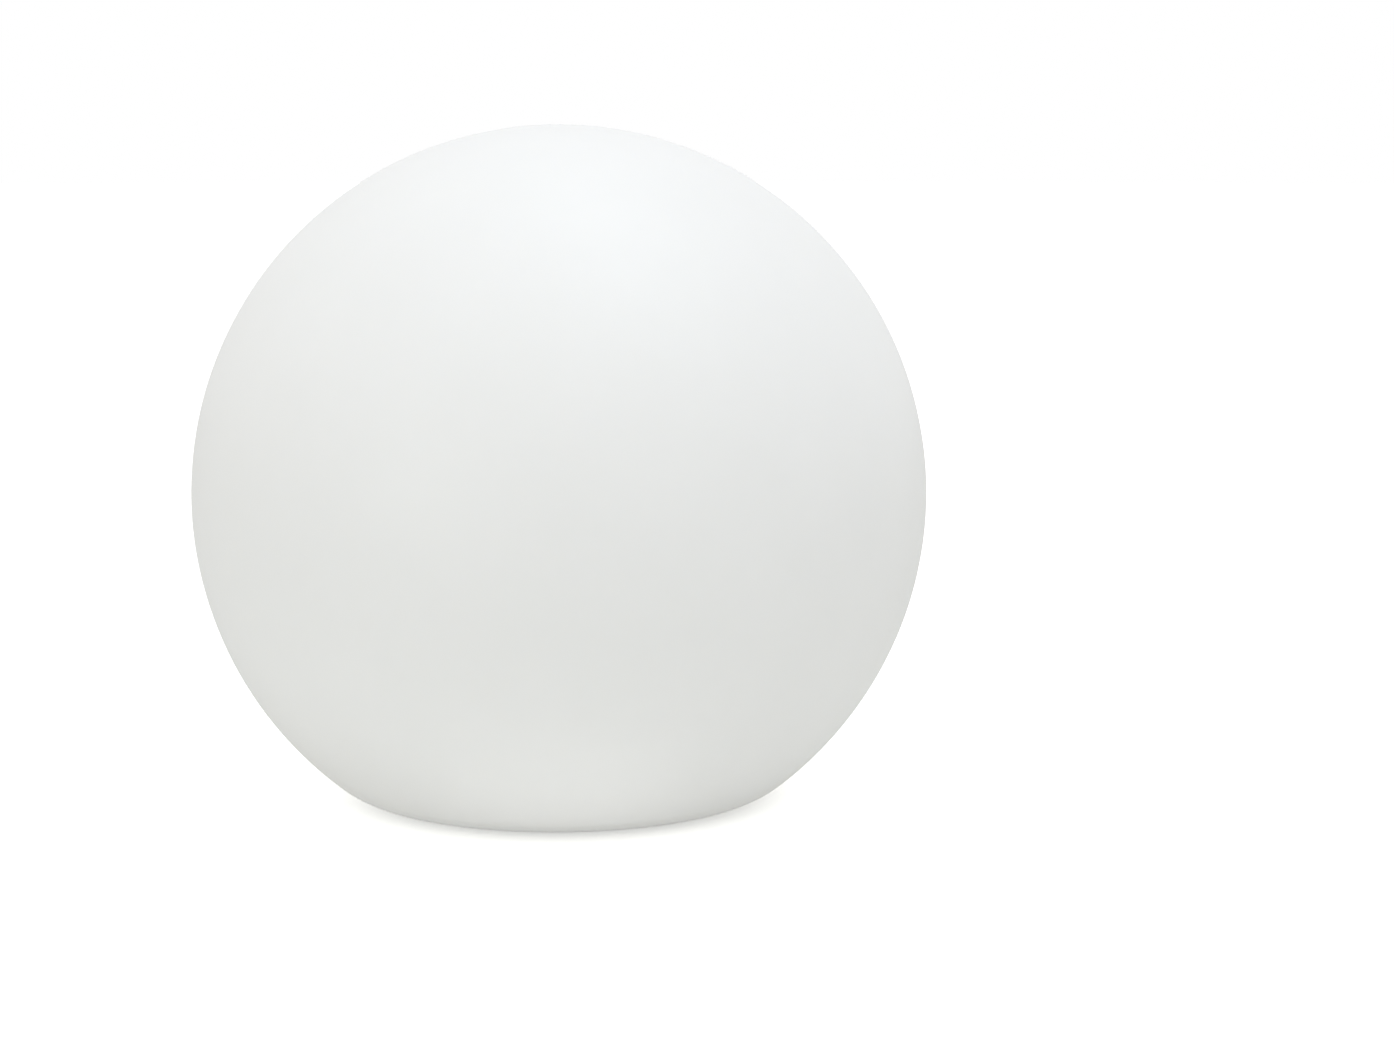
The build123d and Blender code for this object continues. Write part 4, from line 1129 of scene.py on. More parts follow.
def underside_marks():
    """Raised plain marks on the module's underside: standby, charging and battery."""
    flange_low = spot("module_housing").low
    low, high = flange_low - 0.25, flange_low + 0.3
    bm = bmesh.new()
    add_power_symbol(bm, BUTTON_AT.x, -17.5, 2.2, low, high)
    place = Matrix.Translation((SOCKET_AT.x, -20.5, 0))
    add_prism(bm, [(x * 0.85, y * 0.85) for x, y in BOLT], low, high, 0.08, place)
    lens = spot("status_lens")
    half_w, half_h, line = 4.2, 2.2, 0.55
    y = lens.y - 6.5
    for side in (-1, 1):
        add_block(bm, 0, y + side * half_h, low, high, 2 * half_w + line, line, 0.08)
        add_block(bm, side * half_w, y, low + 0.01, high, line, 2 * half_h, 0.08)
    add_block(bm, half_w + 0.75, y, low, high, 0.9, 1.8, 0.08)
    for i in range(3):
        add_block(bm, (i - 1) * 2.2, y, low, high, 1.3, 2.4, 0.08)
    detail(finish_mesh(bm, "underside_marks", ICON), "module_housing")
    bm = bmesh.new()
    for radius, at in ((MOUTH_RADIUS, SHELL_AT), (lens.half_x + 1.6, lens)):
        turned(bm, plate(radius - 0.5, radius + 0.5, low, high, (0.3, 0.3, 0, 0)), 120, at)
    detail(finish_mesh(bm, "underside_beads", HOUSING), "module_housing")


# ---- control board ----
BOARD_AT = spot("control_board")
BOARD_TOP = BOARD_AT.high
CHIP_LEADS = 12
LEAD_PITCH = 0.42
PIN_PITCH = 1.6


def add_leg(bm, x, y, turn, low, shoulder, reach, width, thickness=0.15, paint=1):
    """A bent lead that leaves a chip at x, y, goes out along turn and stands on the board."""
    out = Vector((math.cos(turn), math.sin(turn), 0))
    across = Vector((-out.y, out.x, 0)) * width / 2
    start = Vector((x, y, shoulder))
    up = Vector((0, 0, thickness / 2))
    drop = Vector((0, 0, low + thickness / 2 - shoulder))
    path = [start, start + out * reach * 0.35, start + out * reach * 0.55 + drop, start + out * reach + drop]
    rings = []
    for point in path:
        rings.append([point - across - up, point + across - up, point + across + up, point - across + up])
    add_rings(bm, rings, paint, closed=False)


def controller_chip():
    """A flat package with twelve bent leads a side and a moulded dot at its first lead."""
    at = spot("controller_chip")
    bm = bmesh.new()
    body = 2 * at.half_x - 1.5
    add_block(bm, at.x, at.y, at.low + 0.1, at.high, body, body, 0.08)
    dot = soften(plate(0, 0.3, at.high - 0.05, at.high + 0.01))
    add_lathe(bm, dot, 20, at.x - body * 0.36, at.y + body * 0.36, 2)
    for side in range(4):
        turn = side * math.pi / 2
        out = Vector((math.cos(turn), math.sin(turn), 0))
        for i in range(CHIP_LEADS):
            shift = (i - (CHIP_LEADS - 1) / 2) * LEAD_PITCH
            x = at.x + out.x * (body / 2 - 0.05) - out.y * shift
            y = at.y + out.y * (body / 2 - 0.05) + out.x * shift
            add_leg(bm, x, y, turn, at.low, at.low + 0.6, 0.8, 0.2)
    stand_for(finish_mesh(bm, "leaded_controller", EPOXY, SOLDER, INK), "controller_chip")


def driver_transistors():
    """Power packages, each with a wide tab behind it and two legs in front."""
    bm = bmesh.new()
    for at in solids("driver_transistors"):
        back = at.y + at.half_y
        add_block(bm, at.x, at.y + 0.4, at.low + 0.1, at.high, 2 * at.half_x, 4.1, 0.12)
        add_block(bm, at.x, back - 0.9, at.low, at.low + 0.35, 2 * at.half_x - 0.5, 1.7, 0.06, paint=1)
        for side in (-1, 1):
            x = at.x + side * 1.1
            add_leg(bm, x, at.y - 1.6, -math.pi / 2, at.low, at.low + 0.7, 1.6, 0.55, 0.3)
        add_block(bm, at.x, at.y - 0.8, at.high - 0.02, at.high + 0.01, 2.4, 0.2, paint=2)
    stand_for(finish_mesh(bm, "power_packages", EPOXY, SOLDER, INK), "driver_transistors")


def power_inductor():
    """A wound choke: a ferrite drum with its copper winding between two flanges, on a base with pads."""
    at = spot("power_inductor")
    bm = bmesh.new()
    radius = at.half_x - 0.1
    add_block(bm, at.x, at.y, at.low + 0.1, at.low + 0.7, 2 * at.half_x, 2 * at.half_y, 0.2)
    drum = [(0, at.low + 0.7, 0), (radius, at.low + 0.7, 0.15), (radius, at.low + 1.2, 0.1)]
    drum += [(radius * 0.5, at.low + 1.2, 0), (radius * 0.5, at.high - 0.6, 0), (radius, at.high - 0.6, 0.1)]
    drum += [(radius, at.high, 0.2), (0, at.high, 0)]
    turned(bm, drum, 48, at)
    wire = 0.16
    layers = int((at.high - at.low - 1.8) / (2 * wire))
    for i in range(layers):
        add_torus(bm, at.x, at.y, at.low + 1.2 + wire * (1.96 * i + 1), radius - 0.45, wire, 48, 8, 1)
    for side in (-1, 1):
        add_block(bm, at.x + side * (at.half_x - 0.7), at.y, at.low, at.low + 0.4, 1.5, 3, 0.05, paint=2)
    stand_for(finish_mesh(bm, "wound_choke", FERRITE, COPPER, SOLDER), "power_inductor")


def filter_capacitors():
    """Round capacitors in dark film, crimped at the foot, with an aluminium top whose scored cross is drawn
    as thin black strips: painted shade of the grooves.
    """
    bm = bmesh.new()
    for at in solids("filter_capacitors"):
        r, low, high = at.half_x, at.low + 0.2, at.high
        can = [(0, low, 0), (r, low, 0.2), (r, low + 0.9, 0.2), (r - 0.3, low + 1.2, 0.15)]
        can += [(r, low + 1.5, 0.2), (r, high, 0.35), (r - 0.75, high, 0.1)]
        can += [(r - 0.75, high - 0.15, 0), (0, high - 0.15, 0)]
        turned(bm, can, 40, at)
        turned(bm, plate(0, r - 0.7, high - 0.2, high - 0.07, (0, 0, 0.03, 0)), 40, at, 1)
        # the scored cross is black strips that stand for the shade in its grooves: painted shade
        for turn in (0.6, 0.6 + math.pi / 2):
            add_block(bm, at.x, at.y, high - 0.1, high - 0.04, 2.6, 0.12, turn=turn, paint=2)
        add_block(bm, at.x + r - 0.02, at.y, low + 1.9, high - 0.9, 0.06, 1.6, 0.01, paint=3)
    stand_for(finish_mesh(bm, "crimped_capacitors", CAP_FILM, CAN, EPOXY, INK), "filter_capacitors")


def rounded_rectangle(width, depth, radius, steps=4):
    """The (x, y) corners of a box in plan with rounded corners, counter-clockwise."""
    corners = []
    for quarter, (sx, sy) in enumerate(((1, 1), (-1, 1), (-1, -1), (1, -1))):
        cx, cy = sx * (width / 2 - radius), sy * (depth / 2 - radius)
        for i in range(steps + 1):
            corners.append(polar(radius, math.radians(90 * (quarter + i / steps)), cx, cy))
    return corners


def board_socket(node, name, pins):
    """An open-topped connector with two polarising ribs on one side, and its row of pins."""
    at = spot(node)
    wall = 0.8
    floor_z = at.low + 1.4
    outer = rounded_rectangle(2 * at.half_x, 2 * at.half_y, 0.3)
    inner = rounded_rectangle(2 * (at.half_x - wall), 2 * (at.half_y - wall), 0.15)
    levels = ((outer, at.low), (outer, at.high), (inner, at.high), (inner, floor_z))
    bm = bmesh.new()
    add_rings(bm, raised(*levels, x=at.x, y=at.y), closed=False)
    for side in (-1, 1):
        y = at.y + side * (at.half_y - 2.4)
        add_block(bm, at.x + at.half_x, y, at.low + 0.6, at.high - 0.4, 0.5, 0.9, 0.12)
    pitch = PIN_PITCH if pins > 2 else 2 * PIN_PITCH
    board_low = at.low - 1.6
    for i in range(pins):
        y = at.y + (i - (pins - 1) / 2) * pitch
        add_block(bm, at.x - 1.2, y, at.low - 2.6, floor_z + 0.6, 0.5, 0.5, 0.06, paint=1)
        add_lathe(bm, [(r, board_low - z) for r, z in solder_cone(0, 0.9, 0.7)], 20, at.x - 1.2, y, 1)
    stand_for(finish_mesh(bm, name, NYLON, SOLDER), node)


def cable_plug(node, name, wires):
    """The plug in its connector: a ribbed body with a latch ramp and a funnel for each wire."""
    at = spot(node)
    bm = bmesh.new()
    add_block(bm, at.x, at.y, at.low, at.high, 2 * at.half_x, 2 * at.half_y, 0.2, steps=3)
    for side in (-1, 1):
        add_block(bm, at.x, at.y + side * at.half_y, at.low + 0.5, at.high - 0.8, 1.4, 0.4, 0.08)
    add_block(bm, at.x + at.half_x, at.y, at.high - 2.0, at.high - 0.5, 0.5, 3.0, 0.15)
    low, high = at.high - 0.05, at.high + 0.25
    collar = [(0.7, low, 0), (1.15, low, 0), (1.0, high, 0.08), (0.7, high, 0.05)]
    for y in wires:
        add_lathe(bm, soften(collar), 24, at.x, y)
    stand_for(finish_mesh(bm, name, NYLON), node)


RESISTORS = (
    (-14, 16), (-14, 19), (-14, 22), (-2, 18), (1, 18), (4, 14), (4, 10), (-18, 3), (-18, 0), (-18, -3),
    (8, -20), (-8, -20), (-12, -20), (-9, 1), (-5, 1),
)


def board_details():
    """Tracks, pads, vias and small parts on the control board."""
    bm = bmesh.new()
    low, high = BOARD_TOP - 0.02, BOARD_TOP + 0.035
    chip = spot("controller_chip")
    drivers = solids("driver_transistors")
    battery, harness = spot("battery_socket"), spot("harness_socket")
    choke = spot("power_inductor")

    def track(width, *route):
        for k, ((xa, ya), (xb, yb)) in enumerate(zip(route, route[1:])):
            length = math.hypot(xb - xa, yb - ya)
            turn = math.atan2(yb - ya, xb - xa) - math.pi / 2
            place = Matrix.Translation(((xa + xb) / 2, (ya + yb) / 2, 0)) @ Matrix.Rotation(turn, 4, "Z")
            lift = 0.003 * (k % 2)
            add_prism(bm, oval(length + width, width, 4), low - lift, high + lift, place=place)

    for i, at in enumerate(drivers):
        lane = chip.x + (i - 1.5) * 2 * LEAD_PITCH
        gate, source = at.x - 1.1, at.x + 1.1
        track(0.35, (lane, chip.y - 3.6), (lane, -2 - i * 0.9), (gate, -4.2 - i * 0.9), (gate, at.y + 3.6))
        bus_x, bus_y = -20.5 - i * 1.1, at.y - 5.5 - i * 1.1
        row = (i - 1.5) * PIN_PITCH
        track(0.6, (source, at.y - 3.2), (source, bus_y), (bus_x, bus_y), (bus_x, row), (harness.x + 3, row))
    supply = battery.y + PIN_PITCH
    track(1.2, (battery.x + 3.2, supply), (-20, supply), (-12, battery.y + 9), (2, battery.y + 9))
    track(1.2, (9, 3), (7, 5), (7, 22), (4, 25))
    track(1.2, (9, -3), (9, -17), (choke.x + 3, choke.y + 5))
    for i in range(6):
        y = chip.y + (i - 2.5) * 2 * LEAD_PITCH
        step = i * 0.7
        right, left = chip.x + 8 + step, chip.x - 7.5 - step
        track(0.3, (chip.x + 3.6, y), (right - 2, y), (right, y + 2), (right, 17 + i * 0.5))
        track(0.3, (chip.x - 3.6, y), (left + 2.5, y), (left, y + 2.5), (left, 13 + step))
    for at in solids("board_screws"):
        turned(bm, plate(1.6, 3.0, low, high), 40, at, 1)
    for i, (x, y) in enumerate(RESISTORS):
        add_chip_resistor(bm, x, y, BOARD_TOP, math.pi / 2 * (i % 2), 1.6)
    for i in range(24):
        turn = i * GOLDEN_ANGLE
        reach = 9 + 6.1 * math.sqrt(i)
        x, y = -10 + reach * math.cos(turn) * 0.7, reach * math.sin(turn) * 0.75
        if math.hypot(x, y) < BOARD_AT.half_y - 3 and x < 8:
            add_lathe(bm, soften(plate(0.15, 0.4, low, high + 0.01)), 12, x, y, 1)
    for y in (-3, 3):
        add_lathe(bm, solder_cone(BOARD_TOP, 1.7, 1.1), 24, 9, y, 1)
    detail(finish_mesh(bm, "board_tracks_and_parts", TRACK, SOLDER, EPOXY), "control_board")


# ---- battery ----
def battery_cells():
    """Two crimped steel cells, the one turned end for end to the other, with insulating rings and caps."""
    bm = bmesh.new()
    for i, at in enumerate(solids("battery_cells")):
        radius, half = at.half_x, at.half_y
        can = [(0, -half, 0), (radius, -half, 0.9), (radius, half - 4.2, 0.5)]
        can += [(radius - 0.7, half - 3.4, 0.6), (radius, half - 2.6, 0.5), (radius, half - 0.8, 0.5)]
        can += [(radius - 1.6, half - 0.8, 0.3), (radius - 1.6, half - 1.5, 0), (0, half - 1.5, 0)]
        part = bmesh.new()
        add_lathe(part, soften(can), 72)
        ring = plate(3.6, radius - 1.4, half - 1.5, half - 0.6, (0, 0, 0.1, 0.1))
        add_lathe(part, soften(ring), 72, paint=1)
        knob = [(0, half - 1.6, 0), (3.5, half - 1.6, 0), (3.3, half, 0.5), (0, half, 0)]
        add_lathe(part, soften(knob), 48, paint=2)
        lay = Matrix.Rotation(math.radians(90 if i % 2 else -90), 4, "X")
        merge(bm, part, Matrix.Translation((at.x, at.y, at.z)) @ lay)
    stand_for(finish_mesh(bm, "crimped_cells", CAN, PAPER, NICKEL), "battery_cells")


def battery_strips():
    """Nickel strips with the small dents of their welds."""
    bm = bmesh.new()
    cells_x = [at.x for at in solids("battery_cells")]
    for at in solids("battery_strips"):
        side = 1 if at.y > 0 else -1
        face = at.half_y
        weld = [(0, face + 0.05), (0.35, face + 0.02), (0.5, face - 0.05), (0, face - 0.05)]
        part = bmesh.new()
        add_prism(part, rounded_rectangle(2 * at.half_x, at.high - at.low, 1), -at.half_y, at.half_y, 0.04)
        for x in cells_x:
            for dx, dy in ((-1, -1.2), (1, -1.2), (-1, 1.2), (1, 1.2)):
                add_lathe(part, weld, 14, x + dx, dy, 1)
        upright = Matrix.Rotation(math.radians(-90 * side), 4, "X")
        merge(bm, part, Matrix.Translation((0, at.y, at.z)) @ upright)
    stand_for(finish_mesh(bm, "welded_strips", NICKEL, SPRING), "battery_strips")


def battery_ends():
    """The protection board with its small chips, and the foam pad at the other end."""
    at = spot("protection_board")
    bm = bmesh.new()
    add_block(bm, at.x, at.y, at.low, at.high, 2 * at.half_x, 2 * at.half_y, 0.12)
    for i, x in enumerate((-11, -6.5, 0, 5, 9.5)):
        width = 2.8 if i % 2 else 1.8
        add_block(bm, x, at.y, at.z - 1.4, at.z + 1.4, width, 2 * at.half_y + 0.12, 0.05, paint=1)
    for x in (-14.6, 13.6):
        add_block(bm, x, at.y, at.z - 2.2, at.z + 2.2, 2.4, 2 * at.half_y + 0.08, 0.03, paint=2)
    stand_for(finish_mesh(bm, "populated_protection_board", MASK, EPOXY, SOLDER), "protection_board")
    at = spot("end_pad")
    bm = bmesh.new()
    add_block(bm, at.x, at.y, at.low, at.high, 2 * at.half_x, 2 * at.half_y, 0.35, steps=3)
    stand_for(finish_mesh(bm, "foam_pad", FOAM), "end_pad")


def battery_sleeve():
    """The shrink film: a sleeve that dips between the cells and rolls in over their ends."""
    at = spot("battery_sleeve")
    z = at.z
    wall = 0.5
    width, height = 2 * at.half_x, at.high - at.low

    def dip(x):
        return 0.7 * math.exp(-((x / 3.5) ** 2))

    def ring(y, inset):
        points = []
        for side, up in oval(width - 2 * inset, height - 2 * inset, 22):
            points.append((up, y, z + side * (1 - dip(up) / (height / 2))))
        straight = []
        for i, a in enumerate(points):
            b = points[(i + 1) % len(points)]
            straight.append(Vector(a))
            if abs(a[0] - b[0]) > 2:
                for k in range(1, 16):
                    x = a[0] + (b[0] - a[0]) * k / 16
                    level = (height / 2 - inset) * (1 if a[2] > z else -1)
                    straight.append(Vector((x, y, z + level - math.copysign(dip(x), level))))
        return straight

    rings = []
    end = at.half_y
    profile = [(-end, 1.3), (-end + 0.25, 0.5), (-end + 1.0, 0.1)]
    profile += [(-end + 2 + (2 * end - 4) * i / 12, 0.0) for i in range(13)]
    profile += [(end - 1.0, 0.1), (end - 0.25, 0.5), (end, 1.3)]
    for y, inset in profile:
        rings.append(ring(y, inset))
    for y, inset in profile[::-1]:
        rings.append(ring(y * (1 - 0.3 / end), inset + wall * 0.8))
    bm = bmesh.new()
    add_rings(bm, rings)
    stand_for(finish_mesh(bm, "shrink_sleeve", FILM, sharp=60), "battery_sleeve")


def battery_leads():
    """The red and the black lead from the battery's side to its plug."""
    plug = spot("battery_plug")
    z = spot("battery_cells").z
    wire = 0.9
    for node, name, material, side in (
        ("battery_lead_red", "red_battery_wire", WIRE_RED, 1),
        ("battery_lead_black", "black_battery_wire", WIRE_BLACK, -1),
    ):
        at = spot(node)
        start_x = at.x + at.half_x
        start_y = at.y + at.half_y - wire
        plug_y = plug.y + side * PIN_PITCH
        route = [
            (start_x, start_y, z),
            (start_x - 4, start_y, z + 0.2),
            (plug.x - 0.5, start_y, z - 0.6),
            (plug.x, (start_y + plug_y) / 2, z - 3.5),
            (plug.x, plug_y, plug.high + 2.4),
            (plug.x, plug_y, plug.high - 0.2),
        ]
        bm = bmesh.new()
        add_tube(bm, smooth_route(route), wire, 16)
        stand_for(finish_mesh(bm, name, material), node)


# ---- light ----
LED_BOARD_AT = spot("led_board")
HARNESS_SLOT_X = -38.3
HARNESS_PAD_X = -34
SUPPLY_RINGS = ((19.4, 0.9), (26.6, 0.9), (28.6, 0.7), (14.6, 0.7), (7.4, 0.7))  # radius and width


def led_emitters():
    """White-framed emitters with domed phosphor resin and silver terminals."""
    frames, resin = bmesh.new(), bmesh.new()
    low = LED_BOARD_AT.high
    frame_half = 2.5
    for at in solids("led_resin"):
        turn = math.atan2(at.y, at.x)
        high = at.high - 0.1
        part = bmesh.new()
        outer, ring_top, ring_floor = [], [], []
        for i in range(48):
            angle = math.tau * (i + 0.5) / 48
            out = Vector((math.cos(angle), math.sin(angle)))
            side = frame_half / max(abs(out.x), abs(out.y))
            outer.append(out * min(side, 1.36 * frame_half))
            ring_top.append(out * at.half_x)
            ring_floor.append(out * 0.88 * at.half_x)
        levels = ((outer, 0.1), (outer, high - low), (ring_top, high - low), (ring_floor, 0.6))
        add_rings(part, raised(*levels), closed=False)
        for side in (-1, 1):
            for shift in (-1.5, 0, 1.5):
                add_block(part, side * 2.55, shift, 0, 0.45, 0.5, 0.8, 0.04, paint=1)
        add_block(part, -1.9, 1.9, high - low - 0.03, high - low + 0.02, 0.7, 0.2, turn=math.pi / 4, paint=1)
        merge(frames, part, Matrix.Translation((at.x, at.y, low)) @ Matrix.Rotation(turn, 4, "Z"))
        inner = 0.96 * at.half_x
        dome = [(0, at.low, 0), (0.86 * inner, at.low, 0), (inner, high - 0.1, 0)]
        dome += [(inner * share, high + rise, 0) for share, rise in ((0.75, 0.06), (0.4, 0.13), (0, 0.16))]
        turned(resin, dome, 36, at)
    stand_for(finish_mesh(frames, "emitter_frames", REFLECTOR, SOLDER), "led_emitters")
    stand_for(finish_mesh(resin, "emitter_resin_domes", PHOSPHOR), "led_resin")


def led_board_details():
    """The white board's supply rings, pads and small parts."""
    bm = bmesh.new()
    low, high = LED_BOARD_AT.high - 0.02, LED_BOARD_AT.high + 0.035
    for radius, width in SUPPLY_RINGS:
        for start in (4, 94, 184, 274):
            add_prism(bm, arc_band(radius, width, start, start + 82), low, high)
    for at in solids("led_resin"):
        turn = math.atan2(at.y, at.x)
        reach = math.hypot(at.x, at.y)
        for side in (-1, 1):
            pad = polar(reach + side * 2.6, turn)
            add_block(bm, *pad, low, high + 0.02, 1.2, 4.6, turn=turn, paint=1)
    for i in range(12):
        turn = math.radians(30 * i)
        add_chip_resistor(bm, *polar(31.5, turn), LED_BOARD_AT.high, turn + math.pi / 2)
    for y in harness_rows():
        add_lathe(bm, solder_cone(LED_BOARD_AT.high, 0.75, 0.8), 20, HARNESS_PAD_X, y, 1)
    for at in solids("led_board_screws"):
        turned(bm, plate(1.8, 3.3, low, high), 40, at, 1)
    detail(finish_mesh(bm, "led_board_tracks_and_parts", TRACK_WHITE, SOLDER, EPOXY), "led_board")


def remote_receiver():
    """The infra-red receiver with its domed window and three legs."""
    at = spot("remote_receiver")
    top = at.low + 5.6
    bm = bmesh.new()
    add_block(bm, at.x, at.y, at.low + 0.3, top, 2 * at.half_x, 2 * at.half_y, 0.35, steps=3)
    dome = [(0, at.high)]
    for i in range(1, 9):
        turn = math.radians(90 * i / 8)
        dome.append((1.9 * math.sin(turn), at.high - 1.9 * (1 - math.cos(turn))))
    dome += [(1.9, top - 0.3), (0, top - 0.3)]
    add_lathe(bm, dome, 40, at.x, at.y)
    for i in range(3):
        add_block(bm, at.x + (i - 1) * 1.9, at.y, at.low, at.low + 0.5, 0.5, 0.4, paint=1)
    stand_for(finish_mesh(bm, "infrared_eye", SMOKE, SOLDER), "remote_receiver")


def harness_rows():
    """The y of each of the harness's four wires."""
    plug = spot("harness_plug")
    return [plug.y + (i - 1.5) * PIN_PITCH for i in range(4)]


def led_harness():
    """Four coloured leads up through the carrier's slot to the light's board."""
    plug = spot("harness_plug")
    slot_x, land_x = HARNESS_SLOT_X, HARNESS_PAD_X
    wire = 0.66
    board_z = LED_BOARD_AT.high
    bm = bmesh.new()
    for i, y in enumerate(harness_rows()):
        sway = (0.25, -0.15, 0.2, -0.2)[i]
        route = [
            (plug.x, y, plug.high - 0.2),
            (plug.x, y, plug.high + 5),
            (plug.x - 0.6 + sway, y, plug.high + 9),
            (slot_x, y, plug.high + 14),
            (slot_x, y, board_z + 1.6),
            (slot_x + 0.1, y, board_z + 3.6 + sway),
            (land_x - 0.2, y, board_z + 4.2 + sway),
            (land_x, y, board_z + 2),
            (land_x, y, board_z + 0.1),
        ]
        add_tube(bm, smooth_route(route), wire, 14, paint=i)
    colours = (WIRE_RED, WIRE_GREEN, WIRE_BLUE, WIRE_WHITE)
    stand_for(finish_mesh(bm, "four_light_wires", *colours), "led_harness")


def light_dome():
    """The frosted dome with its rounded flange and the lip that holds the carrier."""
    at = spot("light_dome")
    flange_high = at.low + 2.5
    cap_radius = 44.5
    rise = at.high - flange_high
    wall = 2
    ball = (cap_radius**2 + rise**2) / (2 * rise)
    centre = at.high - ball
    lip, step = 41.6, 1.2
    outer_start = math.degrees(math.asin((flange_high - centre) / ball))
    inner_start = math.degrees(math.asin((at.low + step - centre) / (ball - wall)))
    outline = [(0, at.high, 0)] + [(x, z, 0) for x, z in bend(0, centre, ball, 90, outer_start, 40)[1:]]
    outline += [(at.half_x, flange_high, 0.4), (at.half_x, at.low, 0.4)]
    outline += [(lip, at.low, 0), (lip, at.low + 1.0, 0), (lip + 0.2, at.low + step, 0)]
    outline += [(x, z, 0) for x, z in bend(0, centre, ball - wall, inner_start, 90, 40)[:-1]]
    outline.append((0, at.high - wall, 0))
    bm = bmesh.new()
    add_lathe(bm, soften(outline), 144)
    piece = finish_mesh(bm, "frosted_dome", FROSTED)
    holes = bmesh.new()
    for hole in solids("dome_screws"):
        turned(holes, plate(0, DOME_SCREW_HOLE, at.low - 1, flange_high + 1), 28, hole)
    stand_for(carve(piece, holes), "light_dome")


# ---- making the pieces ----
globe()
parting_line()
inserts()
for screw_node in SCREW_FORMS:
    screws(screw_node)
bonded_washers()
flange_gasket()
for ring_node in ("cap_seal", "button_seal", "dome_seal"):
    o_ring(ring_node)
for make in (
    socket_body, socket_gasket, usb_shell, usb_tongue, socket_nut, socket_board, charge_leads, charge_cap,
    button_bezel, power_button, button_spring, button_clip, switch_parts, status_light, underside_marks,
    controller_chip, driver_transistors, power_inductor, filter_capacitors,
):
    make()
board_socket("battery_socket", "battery_header", 2)
board_socket("harness_socket", "harness_header", 4)
battery_rows = [spot("battery_plug").y + side * PIN_PITCH for side in (-1, 1)]
cable_plug("battery_plug", "battery_connector", battery_rows)
cable_plug("harness_plug", "harness_connector", harness_rows())
for make in (
    board_details, battery_cells, battery_strips, battery_ends, battery_sleeve, battery_leads, led_emitters,
    led_board_details, remote_receiver, led_harness, light_dome,
):
    make()
for cad_node, finish in (
    ("module_housing", HOUSING),
    ("control_board", MASK),
    ("battery_tray", DARK),
    ("battery_clamp", STEEL),
    ("led_carrier", REFLECTOR),
    ("led_board", MASK_WHITE),
):
    repaint(cad_node, finish)


# ---- stage: in metres ----
GLOBE_MIDDLE = Vector((0, 0, CENTRE_Z * MM))
FRAME_SENSOR = 36.0
LENS = 84.8
CAMERA_DISTANCE = 9 * GLOBE_RADIUS * MM
CAMERA_ELEVATION = math.radians(7.0)
GLOBE_ACROSS = -0.0978  # of the picture's width, from its middle
GLOBE_UP = 0.0222


def point_at(thing, aim):
    """Turns a camera or a lamp towards a point."""
    thing.rotation_mode = "QUATERNION"
    thing.rotation_quaternion = (aim - thing.location).to_track_quat("-Z", "Y")


def camera():
    """A long lens a little above the globe's middle, with the globe left of the frame's centre."""
    data = bpy.data.cameras.new("camera")
    data.lens = LENS
    data.sensor_width = FRAME_SENSOR
    eye = bpy.data.objects.new("camera", data)
    bpy.context.scene.collection.objects.link(eye)
    back = Vector((0, -math.cos(CAMERA_ELEVATION), math.sin(CAMERA_ELEVATION)))
    right = Vector((1, 0, 0))
    up = right.cross(-back)
    eye.location = GLOBE_MIDDLE + back * CAMERA_DISTANCE
    width = CAMERA_DISTANCE * FRAME_SENSOR / LENS
    point_at(eye, GLOBE_MIDDLE - right * GLOBE_ACROSS * width - up * GLOBE_UP * width)
    bpy.context.scene.camera = eye


FLOOR_RADIUS = 12.0
FLOOR_GAP = 0.2 * MM
FLOOR_BOUNCE = 0.68
FLOOR_SEEN = 1.6
SKY_LIGHT = 0.895


def floor():
    """A pale floor that lets a camera below it look up through it."""
    bm = bmesh.new()
    bmesh.ops.create_circle(bm, cap_ends=True, radius=FLOOR_RADIUS, segments=96)
    bmesh.ops.translate(bm, vec=(0, 0, -FLOOR_GAP), verts=bm.verts)
    paint = Paint("studio_floor")
    paint.nodes.remove(paint.shader)
    bounced = (FLOOR_BOUNCE, FLOOR_BOUNCE, FLOOR_BOUNCE * 0.96, 1)
    tone = paint.node("Mix")
    tone.data_type = "RGBA"
    seen = paint.node("LightPath").outputs["Is Camera Ray"]
    feed(paint.links, tone, Factor=seen, A=bounced, B=(FLOOR_SEEN, FLOOR_SEEN, FLOOR_SEEN, 1))
    pale = paint.node("BsdfDiffuse", Color=tone.outputs["Result"])
    mix = paint.node("MixShader", Fac=paint.node("NewGeometry").outputs["Backfacing"])
    paint.links.new(pale.outputs["BSDF"], mix.inputs[1])
    paint.links.new(paint.node("BsdfTransparent").outputs["BSDF"], mix.inputs[2])
    feed(paint.links, paint.nodes["Material Output"], Surface=mix.outputs["Shader"])
    plane = finish_mesh(bm, "studio_floor", paint.material)
    if plane.data.polygons[0].normal.z < 0:
        plane.data.flip_normals()
    return plane


def sky():
    """Soft light from all sides, and a white ground behind everything for the camera."""
    world = bpy.data.worlds.new("studio")
    bpy.context.scene.world = world
    world.use_nodes = True
    nodes, links = world.node_tree.nodes, world.node_tree.links
    lit, seen = nodes["Background"], nodes.new("ShaderNodeBackground")
    feed(links, lit, Color=(1.0, 0.995, 0.98, 1), Strength=SKY_LIGHT)
    feed(links, seen, Color=(1, 1, 1, 1), Strength=1.0)
    path = nodes.new("ShaderNodeLightPath")
    mix = feed(links, nodes.new("ShaderNodeMixShader"), Fac=path.outputs["Is Camera Ray"])
    links.new(lit.outputs["Background"], mix.inputs[1])
    links.new(seen.outputs["Background"], mix.inputs[2])
    feed(links, nodes["World Output"], Surface=mix.outputs["Shader"])


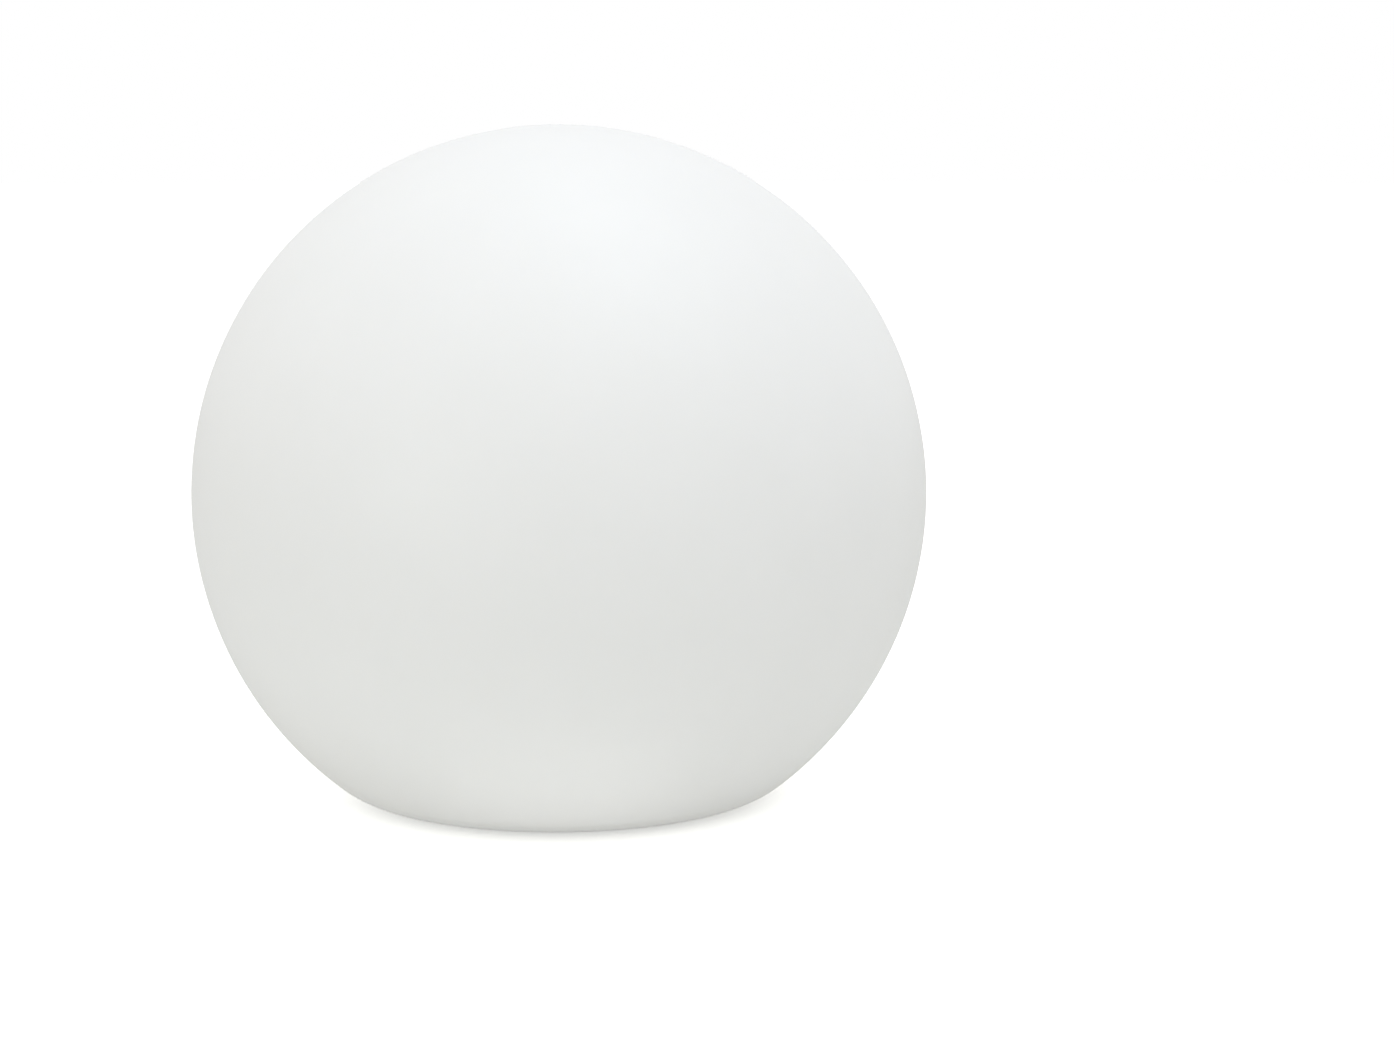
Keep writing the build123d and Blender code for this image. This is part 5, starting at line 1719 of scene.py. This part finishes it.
def softbox(name, place, size, power, colour):
    """A round soft lamp that points at the globe and that the camera doesn't see."""
    data = bpy.data.lights.new(name, "AREA")
    data.shape = "DISK"
    data.size = size
    data.energy = power
    data.color = colour
    lamp = bpy.data.objects.new(name, data)
    bpy.context.scene.collection.objects.link(lamp)
    lamp.location = place
    point_at(lamp, GLOBE_MIDDLE)
    lamp.visible_camera = False
    return lamp


LAMPS = (
    # name, place, size, watts, colour
    ("top_softbox", (0.8, -0.9, 2.3), 1.6, 7.2, (0.90, 0.99, 1.11)),
    ("back_softbox", (0.3, 0.2, 2.5), 1.6, 5.4, (0.90, 0.99, 1.11)),
    ("low_softbox", (-1.8, -2.1, 0.18), 1.2, 8.6, (0.98, 1.02, 0.99)),
    ("under_fill", (0.0, 0.0, -1.2), 1.2, 4.7, (1.0, 1.0, 1.0)),
)

WELL_LAMP_HEIGHT = -1.4  # below the floor
WELL_LAMP_WATTS = 85.0


def well_lamp():
    """A narrow lamp under the floor that lights the well alone, for the views from below."""
    data = bpy.data.lights.new("well_lamp", "SPOT")
    data.energy = WELL_LAMP_WATTS
    data.shadow_soft_size = 0.25
    data.spot_size = 2 * math.atan((WELL_RADIUS + 2 * WELL_EDGE) * MM / -WELL_LAMP_HEIGHT)
    data.spot_blend = 0.25
    lamp = bpy.data.objects.new("well_lamp", data)
    bpy.context.scene.collection.objects.link(lamp)
    lamp.location = (0, 0, WELL_LAMP_HEIGHT)
    lamp.rotation_euler = (math.pi, 0, 0)
    return lamp


camera()
ground = floor()
sky()
unblocked = bpy.data.collections.new("not_blocking_lamps_below")
unblocked.objects.link(ground)
unblocked.collection_objects[0].light_linking.link_state = "EXCLUDE"
for name, place, size, watts, colour in LAMPS:
    lamp = softbox(name, Vector(place), size, watts, colour)
    if place[2] < 0:
        lamp.light_linking.blocker_collection = unblocked
unlit = bpy.data.collections.new("not_lit_by_well_lamp")
unlit.objects.link(bpy.data.objects["milky_globe"])
unlit.collection_objects[0].light_linking.link_state = "EXCLUDE"
low_lamp = well_lamp()
low_lamp.light_linking.blocker_collection = unblocked
low_lamp.light_linking.receiver_collection = unlit
bpy.context.scene.view_settings.view_transform = "Standard"
